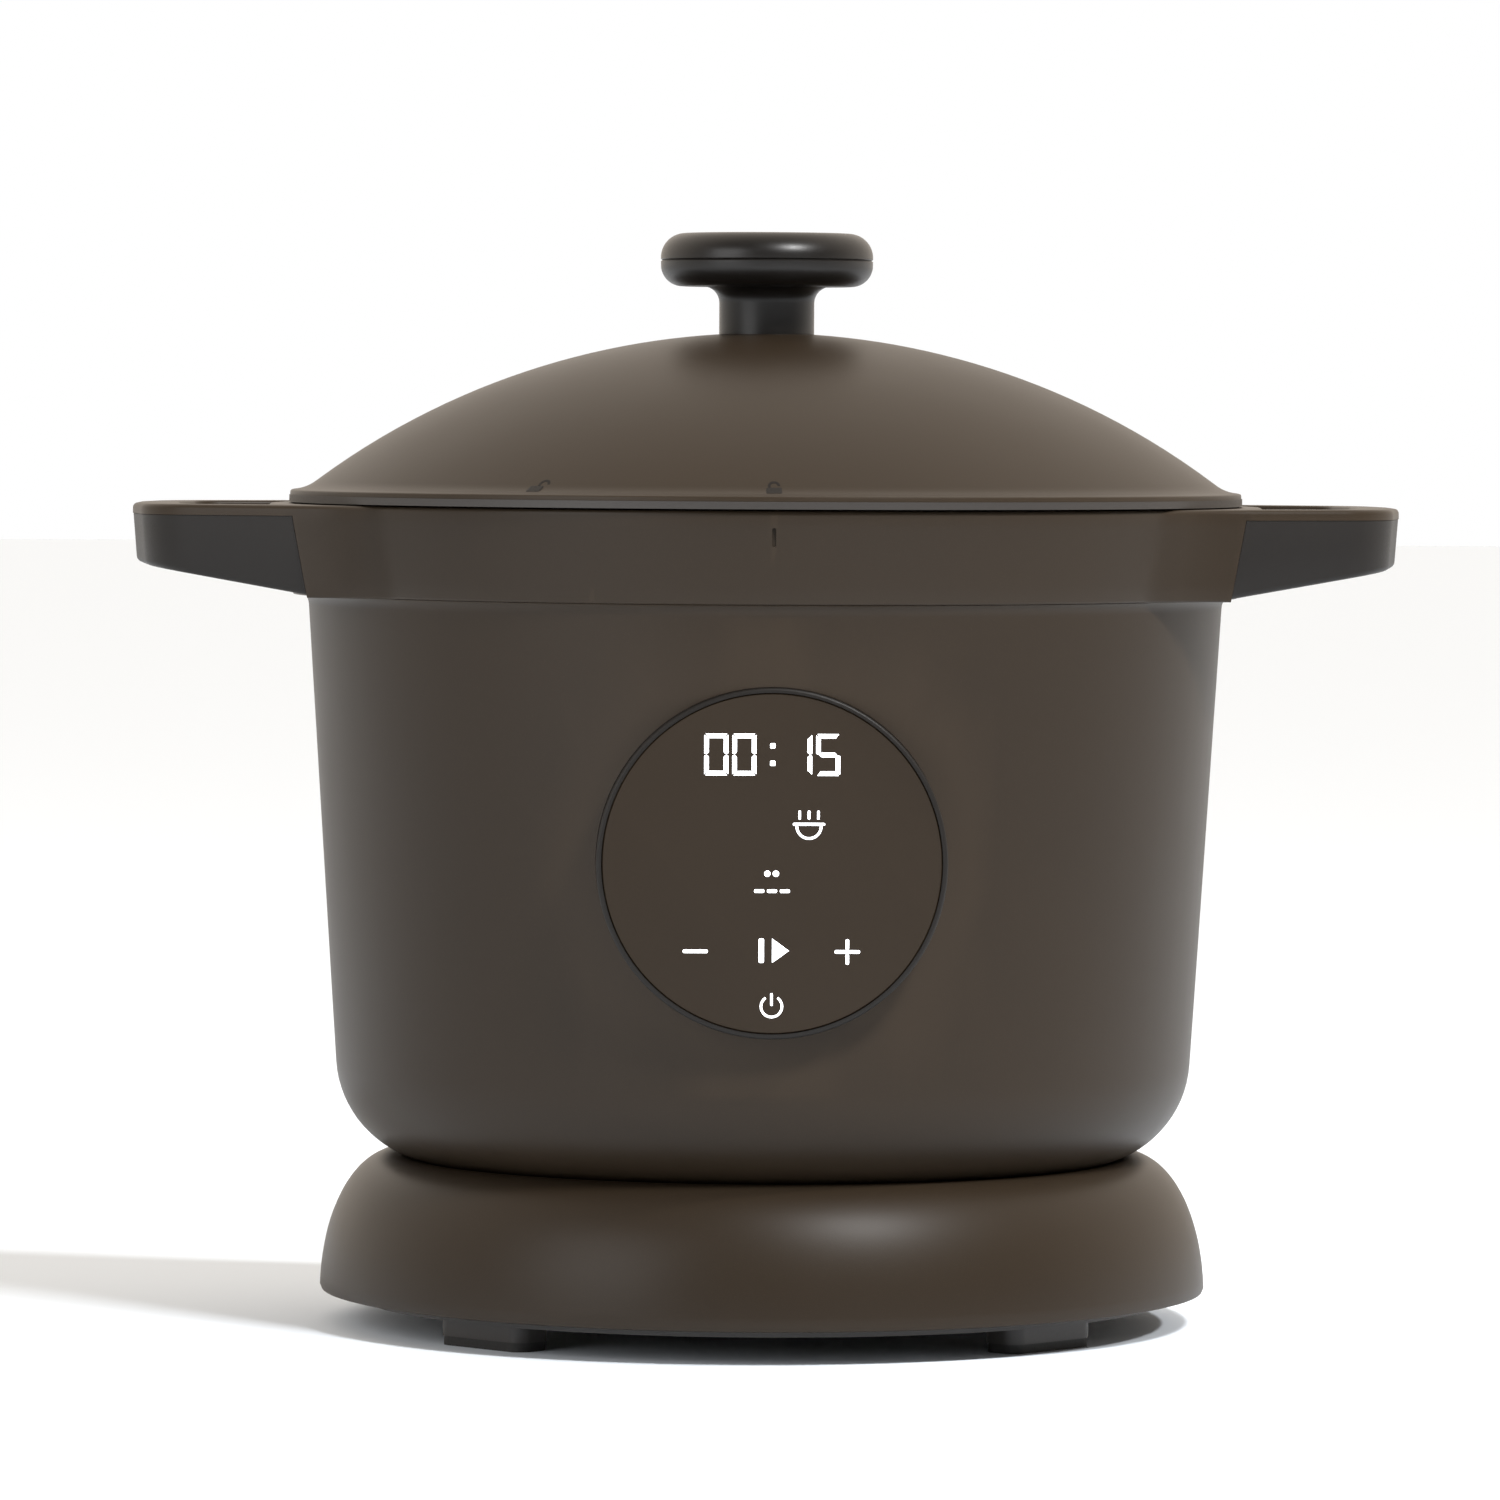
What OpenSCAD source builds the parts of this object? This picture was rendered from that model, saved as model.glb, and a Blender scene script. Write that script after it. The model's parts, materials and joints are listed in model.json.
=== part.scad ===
// Electric pressure cooker: a pot-shaped housing on a round base, with a
// twist-lock domed lid, a removable cooking pot and a round touch display.
// Millimetres. +Z is up, the front with the display faces -Y, and the origin
// is the centre of the circle of feet, on the table.

/* [Base] */
// How far the base's edge stands inside the housing's top edge
base_inset = 4.2; // [-20:0.1:8]
// Height of the base shell, from its lower edge to its crown
base_h = 41.8; // [36:0.1:60]
// Wall thickness of the plastic shells
wall = 2.4; // [1.8:0.1:3]
// Thickness of the rubber pads under the feet
pad_t = 2.8; // [1.5:0.1:5]
// Height of the moulded feet
foot_h = 4.9; // [3:0.1:10]
// Length of a foot along the edge of the base
foot_l = 36; // [26:1:50]
// Width of a foot, towards the centre
foot_w = 14; // [12:1:24]

/* [Housing] */
// From the outside of the cooking pot to the outside of the housing, at the collar
jacket = 28.4; // [28:0.1:50]
// Height of the cooking plate above the base seat
plate_rise = 28; // [28:0.1:60]
// Slope of the housing wall from the vertical, in degrees
draft = 3.6; // [0:0.1:5]
// Radius of the rounded lower edge of the housing
corner_r = 32.5; // [20:0.5:45]
// Height of the collar
collar_h = 27.7; // [26:0.1:40]
// How far the collar stands out from the housing at its lower edge
collar_step = 1.5; // [0.5:0.1:4]
// How much wider the collar is at its top than at its lower edge
collar_flare = 3.1; // [0:0.1:4]

/* [Handles] */
// How far a handle stands out from the collar
handle_l = 48.6; // [43:0.1:70]
// Half width of a handle at its end
handle_end_w = 52; // [40:1:60]
// Half width of a handle where it meets the collar
handle_root_w = 80; // [65:1:85]
// Width of a handle's bar
handle_bar = 13; // [10:0.5:16]
// Thickness of the top plate of a handle
handle_plate_t = 3.2; // [2:0.1:5]

/* [Lid] */
// How far the lid's lip stands past the collar's top edge
lid_over = 1; // [0:0.1:4]
// Height of the dome's apex above the underside of its lip
lid_rise = 50.2; // [40:0.1:70]
// How far the lid turns to unlock, in degrees; half the pitch of its lugs
unlock_turn = 30; // [30:1:30]
// Radius of the knob
knob_r = 32.6; // [26:0.1:40]
// Height of the knob above the dome's apex
knob_h = 30.5; // [26:0.5:45]
// Radius of the knob's stem
stem_r = 14.6; // [12:0.1:18]

/* [Cooking pot] */
// Inside radius of the cooking pot
pot_r = 110; // [90:0.5:135]
// Wall thickness of the cooking pot
pot_wall = 2; // [1.2:0.1:2.5]
// Inside depth of the cooking pot
pot_depth = 155; // [130:1:200]

/* [Display] */
// Radius of the display's bezel
panel_r = 51.5; // [42:0.5:62]
// How far the display's centre is above the middle of the housing's straight wall
panel_shift = -2.7; // [-8:0.1:8]
// How far the bezel's face stands out from the housing at its centre
panel_proud = 4.2; // [2:0.1:8]

/* [Hidden] */
$fn = 96;

eps = 0.01;
gap = 0.3;                 // between pieces that move against each other
fit = 0.15;                // between pieces that are fastened together
run = 0.05;                // radial clearance of a pin that turns or slides
lug_count = round(180 / unlock_turn);
lug_pitch = 360 / lug_count;

// heights of the base
cover_t = 2.4;
cover_z = pad_t + foot_h;
lip_z = cover_z + cover_t;
base_top_z = lip_z + base_h;
seat_drop = 2.3;
seat_z = base_top_z - seat_drop;

// cooking well
plate_top_z = seat_z + plate_rise;
plate_t = 8;
plate_r = pot_r - 10;
pot_out_r = pot_r + pot_wall;
pot_z = plate_top_z + 0.2;
pot_base_t = 3;
pot_rim_z = pot_z + pot_base_t + pot_depth;
pot_rim_r = pot_out_r + 6;
floor_z = plate_top_z - 15.6;
well_r = pot_rim_r + 2;
well_t = 1.2;
shield_r = well_r + well_t + 2.8;
shield_t = 0.5;

// the collar's top, above the pot's rim by the height of the seal and the twist lock
rim_drop = 15.6;
collar_top_z = pot_rim_z + rim_drop;
collar_z = collar_top_z - collar_h;
spigot_h = 6;
spigot_drop = 2.4;
flare_h = 4;
housing_r = pot_out_r + jacket;
collar_r = housing_r + collar_step;
collar_top_r = collar_r + collar_flare;
handle_reach = collar_top_r + handle_l;

// the housing's flat floor, and the opening and screws in it
floor_r = housing_wall_r(seat_z + corner_r) - corner_r / cos(draft);
floor_screw_r = floor_r - 18.9;
floor_hole_r = floor_screw_r - 20;

// the base's rounded flank is a quarter of an ellipse, whose crown clears the housing's floor
base_r = housing_r - base_inset;
crown_gap = 15.1;
flank_a = base_r - floor_r - crown_gap;
flank_b = base_h + 1.4;
flank_c = [base_r - flank_a, base_top_z - flank_b];

// twist lock, from the rim of the pot upwards
lug_t = 2.5;
lock_gap = 0.4;
ring_z = collar_top_z - 6.4;
lid_lug_z = ring_z - lock_gap - lug_t;
skirt_r = well_r - 1.2;
lid_lug_r = skirt_r + 6.2;
ring_in_r = lid_lug_r + 1;
ring_out_r = ring_in_r + 8;
ring_lug_r = well_r - 0.4;
lug_angle = 26;
lip_in_r = ring_in_r + 1;

// lid, from the top of the collar upwards
liner_z = collar_top_z + lock_gap;
liner_t = 2.2;
shell_z = liner_z + liner_t;
lip_t = 1.7;
lid_r = collar_top_r + lid_over;
dome_wall = 2.5;
// the dome is part of a sphere that ends where the lip's flare starts
flare_w = 8.5;
flare_rise = 4.7;
dome_rise = lid_rise - flare_rise;
dome_r = (pow(lid_r - flare_w, 2) + dome_rise * dome_rise) / (2 * dome_rise);
dome_c = shell_z + lid_rise - dome_r;
plate_z = liner_z - 0.5 - 2;
lid_plate_t = 2;
lid_plate_top = plate_z + lid_plate_t;

// inner lid, which hangs under the pressure plate on its pivot
seal_z = pot_rim_z + gap;
seal_r = skirt_r - 2.5;
seal_in_r = pot_r - 5.5;
inner_t = 1.5;
inner_z = seal_z + 2.6;
inner_r = seal_in_r + 3.5;
pivot_r = 4;
boss_h = 8;
boss_top_z = plate_z + boss_h;
clip_t = 1.2;

// steam valve and float, behind the knob
vent_y = seal_in_r - 4.5;
vent_w = 74;
vent_d = 36;
vent_proud = 10;
float_x = -24;
float_y = vent_y - 4;
float_r = 2;
float_travel = 4;
spout_r = 6;
spout_bore = 2.4;
valve_r = 8;

// display stack, from the bezel's face inwards
panel_z = (seat_z + corner_r + collar_z - flare_h) / 2 + panel_shift;
panel_face = housing_wall_r(panel_z) + panel_proud;
bezel_rim = 1.6;
lens_r = panel_r - bezel_rim;
lens_t = 2.4;
lens_recess = 0.3;
guide_t = 1.6;
module_t = 3.5;
pcb_t = 1.6;
guide_face = panel_face - lens_recess - lens_t;
module_face = guide_face - guide_t;
board_face = module_face - module_t;
board_back = board_face - pcb_t;
board_r = lens_r - 2.6;
retainer_t = 3;

// power inlet in the back of the base
inlet_w = 27.5;
inlet_h = 19.5;
inlet_depth = 26;
inlet_z = lip_z + 18.4;
inlet_y = base_r - 4.7;
socket_w = 24.5;
socket_h = 16.5;
socket_depth = 19;
blade_l = 28;
blade_recess = 5;
blades_at = [[-7, -2], [0, 2], [7, -2]];

// screws: shank radius, head radius, head height
m3 = [1.5, 2.8, 2];
m4 = [2, 3.6, 2.6];
m5 = [2.5, 5, 3];

// depth of the holes that sink the bottom screws' heads
head_room = 3;

// where the screws stand, as [radius, first angle, count]
cover_screws_at = [base_r - 20, 22.5, 4];
housing_screws_at = [floor_screw_r, 0, 6];
ring_screws_at = [ring_out_r - 3, 30, 6];
lid_screws_at = [seal_in_r - 5.5, 0, 6];
plate_screws_at = [plate_r - 12, 90, 3];

// power board on the bottom cover
board_l = 110;
board_w = 72;
board_z = lip_z + 5.9;
board_top = board_z + pcb_t;
board_y = -8;
post_in = 5;

// the element's two terminals, and the holes round them
element_r = plate_r - 28;
element_gap = 24;
terminal_r = 3;
terminal_l = 7.4;
terminal_z = plate_top_z - plate_t - terminal_l - 0.1;

// routes of the wires, chosen by hand from the base seat and the centre
wire_r = 1.6;
wire_route = [[-15, 84, -22], [-22, 70, -19], [-32, 56, -17],
              [-42, 44, -18], [-46, 32, -24], [-46, 24, -29.6]];
wire_pitch = 5.5;
element_route = [[31, -37, -29.6], [31, -39, -18], [31, -40, -6], [31, -42, 1],
                 [31, -47, 5], [30.4, -54, 5.8], [29.6, -62, 6.4], [29.3, -65.6, 9]];
cable_r = 1.1;
cable_route = [[0, -36, -29.6], [0, -40, -20], [0, -45, -9], [0, -50, 0],
               [0, -62, 5.5], [0, -80, 6.8], [0, -97, 7.2], [0, -112, 10],
               [0, -118, 13.6], [0, -123.6, 20.5], [0, -126, 29], [0, -126, 40],
               [0, -126, 50], [0, -126, 57.4], [0, -126.6, 61.5], [0, -128.4, 63.4],
              [0, -130.2, 63.5]];

// ---------------------------------------------------------------- helpers

function arc(c, r, from, to, n = 12) =
    [for (i = [0:n]) let (a = from + (to - from) * i / n) c + r * [cos(a), sin(a)]];

function ellipse_arc(c, a, b, from, to, n = 16) =
    [for (i = [0:n]) let (t = from + (to - from) * i / n) c + [a * cos(t), b * sin(t)]];

function bend(p, q, r, n = 6) =
    [for (i = [0:n]) let (t = i / n) (1 - t) * (1 - t) * p + 2 * t * (1 - t) * q + t * t * r];

// Radius of the housing's outside at a height
function housing_wall_r(z) = housing_r - (collar_z - z) * tan(draft);

// Height of the dome's outside at a radius, moved out by off
function dome_z(r, off = 0) = dome_c + sqrt(pow(dome_r + off, 2) - r * r);

function spline(p, t) =
    let (n = len(p) - 1, i = min(floor(t), n - 1), u = t - i,
         a = p[max(i - 1, 0)], b = p[i], c = p[i + 1], d = p[min(i + 2, n)])
    0.5 * (2 * b + (c - a) * u + (2 * a - 5 * b + 4 * c - d) * u * u
           + (3 * b - a - 3 * c + d) * u * u * u);

function unit(v) = v / norm(v);

// A tube of radius r along a smooth curve through the points
module sweep(points, r, sides = 8, steps = 3) {
    n = (len(points) - 1) * steps;
    path = [for (i = [0:n]) spline(points, i / steps)];
    tangents = [for (i = [0:n]) unit(path[min(i + 1, n)] - path[max(i - 1, 0)])];
    rings = [for (i = [0:n])
        let (u = unit(cross(tangents[i], [1, 0.02, 0.03])), v = cross(tangents[i], u))
        [for (k = [0:sides - 1]) let (a = 360 * k / sides) path[i] + r * (cos(a) * u + sin(a) * v)]];
    polyhedron(
        points = [for (ring = rings) each ring],
        faces = concat(
            [[for (k = [0:sides - 1]) k]],
            [[for (k = [sides - 1:-1:0]) n * sides + k]],
            [for (i = [0:n - 1], k = [0:sides - 1]) let (j = (k + 1) % sides)
                [i * sides + k, (i + 1) * sides + k, (i + 1) * sides + j, i * sides + j]]));
}

// A coil spring of round wire, standing on z = 0
module coil(mean_r, wire, height, turns, sides = 6, per_turn = 14) {
    n = turns * per_turn;
    rise = height - 2 * wire;
    rings = [for (i = [0:n])
        let (a = 360 * i / per_turn, c = [mean_r * cos(a), mean_r * sin(a), wire + rise * i / n],
             out = [cos(a), sin(a), 0])
        [for (k = [0:sides - 1]) let (b = 360 * k / sides) c + wire * (cos(b) * out + sin(b) * [0, 0, 1])]];
    polyhedron(
        points = [for (ring = rings) each ring],
        faces = concat(
            [[for (k = [sides - 1:-1:0]) k]],
            [[for (k = [0:sides - 1]) n * sides + k]],
            [for (i = [0:n - 1], k = [0:sides - 1]) let (j = (k + 1) % sides)
                [i * sides + k, i * sides + j, (i + 1) * sides + j, (i + 1) * sides + k]]));
}

module ring(r_out, r_in, z, h) {
    translate([0, 0, z]) difference() {
        cylinder(r = r_out, h = h);
        translate([0, 0, -1]) cylinder(r = r_in, h = h + 2);
    }
}

// A ring with a given share of a turn, centred on an angle
module ring_sector(r_out, r_in, z, h, middle, angle) {
    rotate(middle - angle / 2) translate([0, 0, z]) rotate_extrude(angle = angle)
        translate([r_in, 0]) square([r_out - r_in, h]);
}

module on_circle(at) {
    for (i = [0:at[2] - 1]) rotate(at[1] + 360 * i / at[2]) translate([at[0], 0, 0]) children();
}

module rounded_box(size, r) {
    linear_extrude(size[2]) rounded_rect(size[0], size[1], r);
}

module rounded_rect(w, d, r) {
    union() {
        square([w - 2 * r, d], center = true);
        square([w, d - 2 * r], center = true);
        for (x = [-1, 1], y = [-1, 1]) translate([x * (w / 2 - r), y * (d / 2 - r)]) circle(r);
    }
}

// A pan-head screw whose head's underside is at z = 0 and whose shank points up
module screw(size, length) {
    difference() {
        union() {
            cylinder(r = size[0], h = length);
            translate([0, 0, -size[2]]) cylinder(r = size[1], h = size[2]);
        }
        translate([0, 0, -size[2] - eps]) cylinder(r = size[0] * 0.75, h = size[2] * 0.6, $fn = 6);
    }
}

module screw_hole(size, depth) {
    translate([0, 0, -depth]) cylinder(r = size[0] + fit, h = 2 * depth);
}

// ---------------------------------------------------------------- base

module foot_positions() {
    foot_at = base_r - 14.2 - foot_w / 2;
    for (a = [45:90:315]) rotate(a) translate([foot_at, 0, 0]) children();
}

module foot_outline(inset = 0) {
    rounded_rect(foot_w - 2 * inset, foot_l - 2 * inset, 5 - inset);
}

module foot_pads() {
    color("#161413") foot_positions() linear_extrude(pad_t) foot_outline(0.4);
}

module bottom_cover() {
    step_r = base_r - 11.3;
    flange_r = base_r - wall - gap;
    color("#2e2a27") difference() {
        union() {
            translate([0, 0, cover_z]) cylinder(r = step_r, h = cover_t);
            translate([0, 0, lip_z]) cylinder(r = flange_r, h = 2);
            foot_positions() translate([0, 0, pad_t]) linear_extrude(foot_h + eps) foot_outline();
        }
        difference() {
            translate([0, 0, lip_z]) cylinder(r = step_r - 2.4, h = 3);
            on_circle(cover_screws_at) cylinder(r = 6, h = lip_z + 2);
        }
        on_circle(cover_screws_at) translate([0, 0, lip_z]) screw_hole(m4, 4);
        on_circle(cover_screws_at) translate([0, 0, cover_z - 1]) cylinder(r = m4[1] + fit, h = head_room + 1);
        cover_vents();
    }
    color("#2e2a27") board_posts() difference() {
        translate([0, 0, lip_z - eps]) cylinder(r = 3.5, h = board_z - lip_z + eps);
        translate([0, 0, lip_z + 0.5]) cylinder(r = m3[0] + fit, h = board_z - lip_z);
    }
}

// Cooling slots in the bottom cover, clear of the feet and of the power board's posts
module cover_vents() {
    for (side = [-1, 1], i = [0:6])
        translate([side * 78, (i - 3) * 7, cover_z - 1]) rounded_box([26, 3, cover_t + 2], 1.4);
}

module board_posts() {
    for (x = [-1, 1], y = [-1, 1])
        translate([x * (board_l / 2 - post_in), board_y + y * (board_w / 2 - post_in), 0]) children();
}

function base_outside() = concat(
    [[base_r - 2, lip_z], [base_r - 0.5, lip_z + 0.4]],
    ellipse_arc(flank_c, flank_a, flank_b, asin((lip_z + 1.6 - flank_c.y) / flank_b), 90, 22),
    bend([flank_c.x, base_top_z], [flank_c.x - 4, base_top_z], [flank_c.x - 7.5, seat_z]));

module base_solid() {
    rotate_extrude() polygon(concat(
        [[0, lip_z - eps], [base_r - wall, lip_z - eps]], base_outside(), [[0, seat_z]]));
}

module base_hollow() {
    a = flank_a - wall;
    b = flank_b - wall;
    rotate_extrude() polygon(concat(
        [[0, 0], [base_r - wall, 0]],
        ellipse_arc([flank_c.x, flank_c.y], a, b, asin((lip_z - flank_c.y) / b), 78, 16),
        [[flank_c.x - 8, seat_z - wall], [0, seat_z - wall]]));
}

module base_shell() {
    color("#4a423d") difference() {
        union() {
            difference() {
                base_solid();
                base_hollow();
            }
            intersection() {
                on_circle(cover_screws_at) translate([0, 0, lip_z + 2]) cylinder(r = 5, h = base_h);
                base_solid();
            }
            translate([-inlet_w / 2 - 4, inlet_y - 18, inlet_z - inlet_h / 2 - 4])
                cube([inlet_w + 8, 18, inlet_h + 8]);
        }
        // flat face round the inlet
        translate([-inlet_w / 2 - 4, inlet_y, inlet_z - inlet_h / 2 - 4]) cube([inlet_w + 8, 40, inlet_h + 8]);
        translate([0, 0, seat_z - 10]) cylinder(r = floor_hole_r - 5, h = 20);
        on_circle(cover_screws_at) translate([0, 0, lip_z]) cylinder(r = m4[0] + fit, h = 18);
        on_circle(housing_screws_at) translate([0, 0, seat_z]) screw_hole(m4, 5);
        translate([0, inlet_y, inlet_z]) cube([inlet_w + 2 * fit, 80, inlet_h + 2 * fit], center = true);
    }
}

module bottom_screws() {
    color("#8a8a88") on_circle(cover_screws_at) translate([0, 0, cover_z + head_room]) screw(m4, 14);
}

module housing_screws() {
    color("#8a8a88") on_circle(housing_screws_at) translate([0, 0, seat_z - wall]) screw(m4, 9);
}

module inlet_section(w, h, cut) {
    polygon([[-w / 2, -h / 2 + cut], [-w / 2 + cut, -h / 2], [w / 2 - cut, -h / 2],
             [w / 2, -h / 2 + cut], [w / 2, h / 2], [-w / 2, h / 2]]);
}

module power_inlet() {
    color("#141414") translate([0, inlet_y, inlet_z]) rotate([90, 0, 0]) difference() {
        union() {
            linear_extrude(inlet_depth) square([inlet_w, inlet_h], center = true);
            // shoulder behind the base shell's wall
            translate([0, 0, 18 + fit]) linear_extrude(2.5) square([inlet_w + 5, inlet_h + 3], center = true);
        }
        translate([0, 0, -1]) linear_extrude(socket_depth + 1) inlet_section(socket_w, socket_h, 4.5);
        for (p = blades_at) translate(p) cube([2.1, 4.1, 60], center = true);
    }
}

module inlet_blades() {
    color("#c9b27c") translate([0, inlet_y - blade_recess, inlet_z]) rotate([90, 0, 0])
        for (p = blades_at) translate([p.x - 1, p.y - 2, 0]) cube([2, 4, blade_l]);
}

module power_board() {
    color("#2f5d34") difference() {
        translate([-board_l / 2, board_y - board_w / 2, board_z]) cube([board_l, board_w, pcb_t]);
        board_posts() translate([0, 0, board_z]) screw_hole(m3, 4);
    }
}

module board_screws() {
    color("#8a8a88") board_posts() translate([0, 0, board_top]) mirror([0, 0, 1]) screw(m3, 6);
}

module transformer() {
    color("#3a3a3a") translate([16, board_y + 12, board_top]) {
        translate([-14, -11, 0]) cube([28, 22, 4]);
        translate([-11, -8, 4]) cube([22, 16, 14]);
        color("#d9b53a") translate([-12.5, -5, 6]) cube([25, 10, 10]);
    }
}

module relay() {
    color("#1f4f8f") translate([-18, board_y + 10, board_top]) translate([-10, -8, 0])
        cube([20, 16, 15]);
}

module capacitors() {
    color("#25313d") for (p = [[-42, -14, 6, 16], [-28, -18, 5, 14], [-14, -20, 4, 11], [4, -20, 4, 11]])
        translate([p[0], board_y + p[1], board_top]) cylinder(r = p[2], h = p[3]);
}

function from_seat(route, step = 0) = [for (p = route) p + [step, 0, seat_z]];

// From the back of each blade to the power board, and from the board to the heating element
module mains_wires() {
    blade_end = inlet_y - blade_recess - blade_l - 0.4;
    terminal = [element_r * sin(element_gap), -element_r * cos(element_gap), terminal_z - 0.4];
    color("#7d2b20") for (i = [0:2])
        sweep(concat([for (y = [0, 5]) [blades_at[i].x, blade_end - y, inlet_z + blades_at[i].y]],
                     from_seat(wire_route, i * wire_pitch)), wire_r);
    color("#7d2b20") for (side = [0, 1]) mirror([side, 0, 0])
        sweep(concat(from_seat(element_route), [terminal]), wire_r);
}

module display_cable() {
    color("#d8d4cc") sweep(from_seat(cable_route), cable_r);
}

// ---------------------------------------------------------------- housing

// Outline of the housing from the middle of its floor up to the collar, moved in by inset
function housing_outline(inset = 0) =
    concat([[0, seat_z + inset]], arc([floor_r, seat_z + corner_r], corner_r - inset, -90, -draft, 18),
           [[housing_wall_r(collar_z - flare_h) - inset / cos(draft), collar_z - flare_h]]);

module housing_shell() {
    spigot_r = housing_r - spigot_drop;
    shell_t = 2.2;
    color("#453e39") difference() {
        union() {
            difference() {
                rotate_extrude() polygon(concat(housing_outline(),
                    bend([housing_r - 0.2, collar_z - flare_h + 0.8], [housing_r, collar_z - 1],
                         [collar_r - 0.3, collar_z - eps], 8), [[0, collar_z - eps]]));
                rotate_extrude() polygon(concat(housing_outline(shell_t),
                    [[housing_r - shell_t / cos(draft), collar_z + 1], [0, collar_z + 1]]));
            }
            ring(spigot_r, spigot_r - 2.2, collar_z - 6, spigot_h + 6);
            ring(housing_r - 1, spigot_r - 2.2, collar_z - 3, 3);
            on_circle(housing_screws_at) translate([0, 0, seat_z + 1]) cylinder(r = 4.5, h = 9);
        }
        translate([0, 0, seat_z - 1]) cylinder(r = floor_hole_r, h = 10);
        on_circle(housing_screws_at) translate([0, 0, seat_z]) screw_hole(m4, 8.5);
        translate([0, -housing_r + 40, panel_z]) rotate([90, 0, 0]) cylinder(r = panel_r + fit, h = 60);
    }
}

// Plan of one handle, reaching along +X
module handle_plan() {
    corner = 24;
    offset(r = corner, $fn = 120) offset(delta = -corner)
        polygon([[0, -handle_root_w], [collar_top_r * 0.8, -handle_root_w],
                 [handle_reach - 6, -handle_end_w], [handle_reach, -handle_end_w * 0.3],
                 [handle_reach, handle_end_w * 0.3], [handle_reach - 6, handle_end_w],
                 [collar_top_r * 0.8, handle_root_w], [0, handle_root_w]]);
}

// Finger opening of a handle
module handle_hole_plan() {
    inner_r = collar_top_r + 7.5;
    round_r = 5;
    offset(r = round_r, $fn = 64) offset(delta = -round_r) difference() {
        offset(delta = -handle_bar) handle_plan();
        circle(inner_r);
    }
}

// Collar and handles in plan, with blended corners where they meet
module collar_plan() {
    blend = 28;
    offset(r = -blend, $fn = 120) offset(delta = blend) union() {
        circle(collar_r);
        handle_plan();
        mirror([1, 0]) handle_plan();
    }
}

seam_top_x = collar_top_r - 2;
seam_foot_x = collar_top_r - 6.6;
grip_top_z = collar_top_z - handle_plate_t;
grip_foot_z = collar_z + 0.8;
grip_slope = 9.5;

// Everything nearer the centre than the seam between collar and grips, moved out by more
module seam_block(more = 0) {
    wide = 2 * handle_root_w + 80;
    slope = (seam_top_x - seam_foot_x) / (grip_top_z - collar_z);
    top = seam_top_x + more + slope * 40;
    foot = seam_foot_x + more - slope * 40;
    rotate([90, 0, 0]) linear_extrude(wide, center = true)
        polygon([[-top, grip_top_z + 40], [top, grip_top_z + 40], [foot, collar_z - 40], [-foot, collar_z - 40]]);
}

module collar_band() {
    edge = 1.5;
    rotate_extrude() polygon(concat(
        [[housing_r - spigot_drop + fit, collar_z], [collar_r - 0.6, collar_z], [collar_r, collar_z + 0.8]],
        bend([collar_top_r - 0.1, collar_top_z - edge], [collar_top_r, collar_top_z],
             [collar_top_r - edge, collar_top_z], 5),
        [[lip_in_r, collar_top_z], [lip_in_r, ring_z + lug_t + fit], [ring_out_r + 0.6, ring_z + lug_t + fit],
         [ring_out_r + 0.6, collar_z + spigot_h + 1.5], [housing_r - spigot_drop + fit, collar_z + spigot_h + 1.5]]));
}

module collar() {
    color("#463f3a") difference() {
        union() {
            collar_band();
            // full-height corners that carry the handles
            intersection() {
                translate([0, 0, collar_z]) linear_extrude(collar_h - eps) difference() {
                    collar_plan();
                    circle(collar_r - 2);
                }
                seam_block();
            }
            // top plates of the handles
            translate([0, 0, grip_top_z]) linear_extrude(handle_plate_t) difference() {
                collar_plan();
                circle(collar_r - 2);
                handle_hole_plan();
                mirror([1, 0]) handle_hole_plan();
            }
        }
        on_circle(ring_screws_at) translate([0, 0, ring_z]) cylinder(r = m3[0] + fit, h = 5.4);
        handle_screw_positions() translate([0, 0, grip_top_z - 1]) cylinder(r = m3[0] + fit, h = 3);
        // mark that the lid's symbols line up with
        translate([0, -collar_top_r, collar_top_z - 9.6]) cube([0.9, 3.4, 5.2], center = true);
        // pocket for the lid sensor
        rotate(200) translate([ring_out_r + 4, 0, ring_z - 4]) cube([6.4, 12.4, 6.4], center = true);
    }
}

// The lower bar of a handle, along +X
module handle_grip() {
    end_z = grip_foot_z + (handle_reach - seam_foot_x) * tan(grip_slope);
    difference() {
        translate([0, 0, collar_z]) linear_extrude(grip_top_z - collar_z) difference() {
            intersection() {
                collar_plan();
                translate([collar_r / 2, -handle_root_w * 2]) square([handle_reach, handle_root_w * 4]);
            }
            handle_hole_plan();
            circle(collar_top_r + fit);
        }
        seam_block(fit);
        // sloping underside
        rotate([90, 0, 0]) linear_extrude(400, center = true)
            polygon([[seam_foot_x - 30, grip_foot_z - 30 * tan(grip_slope)], [handle_reach + 30,
                     end_z + 30 * tan(grip_slope)], [handle_reach + 30, collar_z - 10], [seam_foot_x - 30, collar_z - 10]]);
    }
}

module handle_screw_positions() {
    x = collar_top_r + 19;
    share = (x - collar_top_r * 0.8) / (handle_reach - 6 - collar_top_r * 0.8);
    y = handle_root_w + (handle_end_w - handle_root_w) * share - handle_bar * 0.55;
    for (sx = [-1, 1], sy = [-1, 1]) translate([sx * x, sy * y, 0]) children();
}

module drilled_grip() {
    difference() {
        handle_grip();
        handle_screw_positions() translate([0, 0, grip_top_z]) screw_hole(m3, 40);
        handle_screw_positions() translate([0, 0, collar_z - 1]) cylinder(r = m3[1] + fit, h = collar_h - 12);
    }
}

module handle_grip_right() {
    color("#2b2725") drilled_grip();
}

module handle_grip_left() {
    color("#2b2725") mirror([1, 0, 0]) drilled_grip();
}

module handle_screws() {
    color("#8a8a88") handle_screw_positions() translate([0, 0, collar_z + collar_h - 13]) screw(m3, 11);
}

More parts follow.
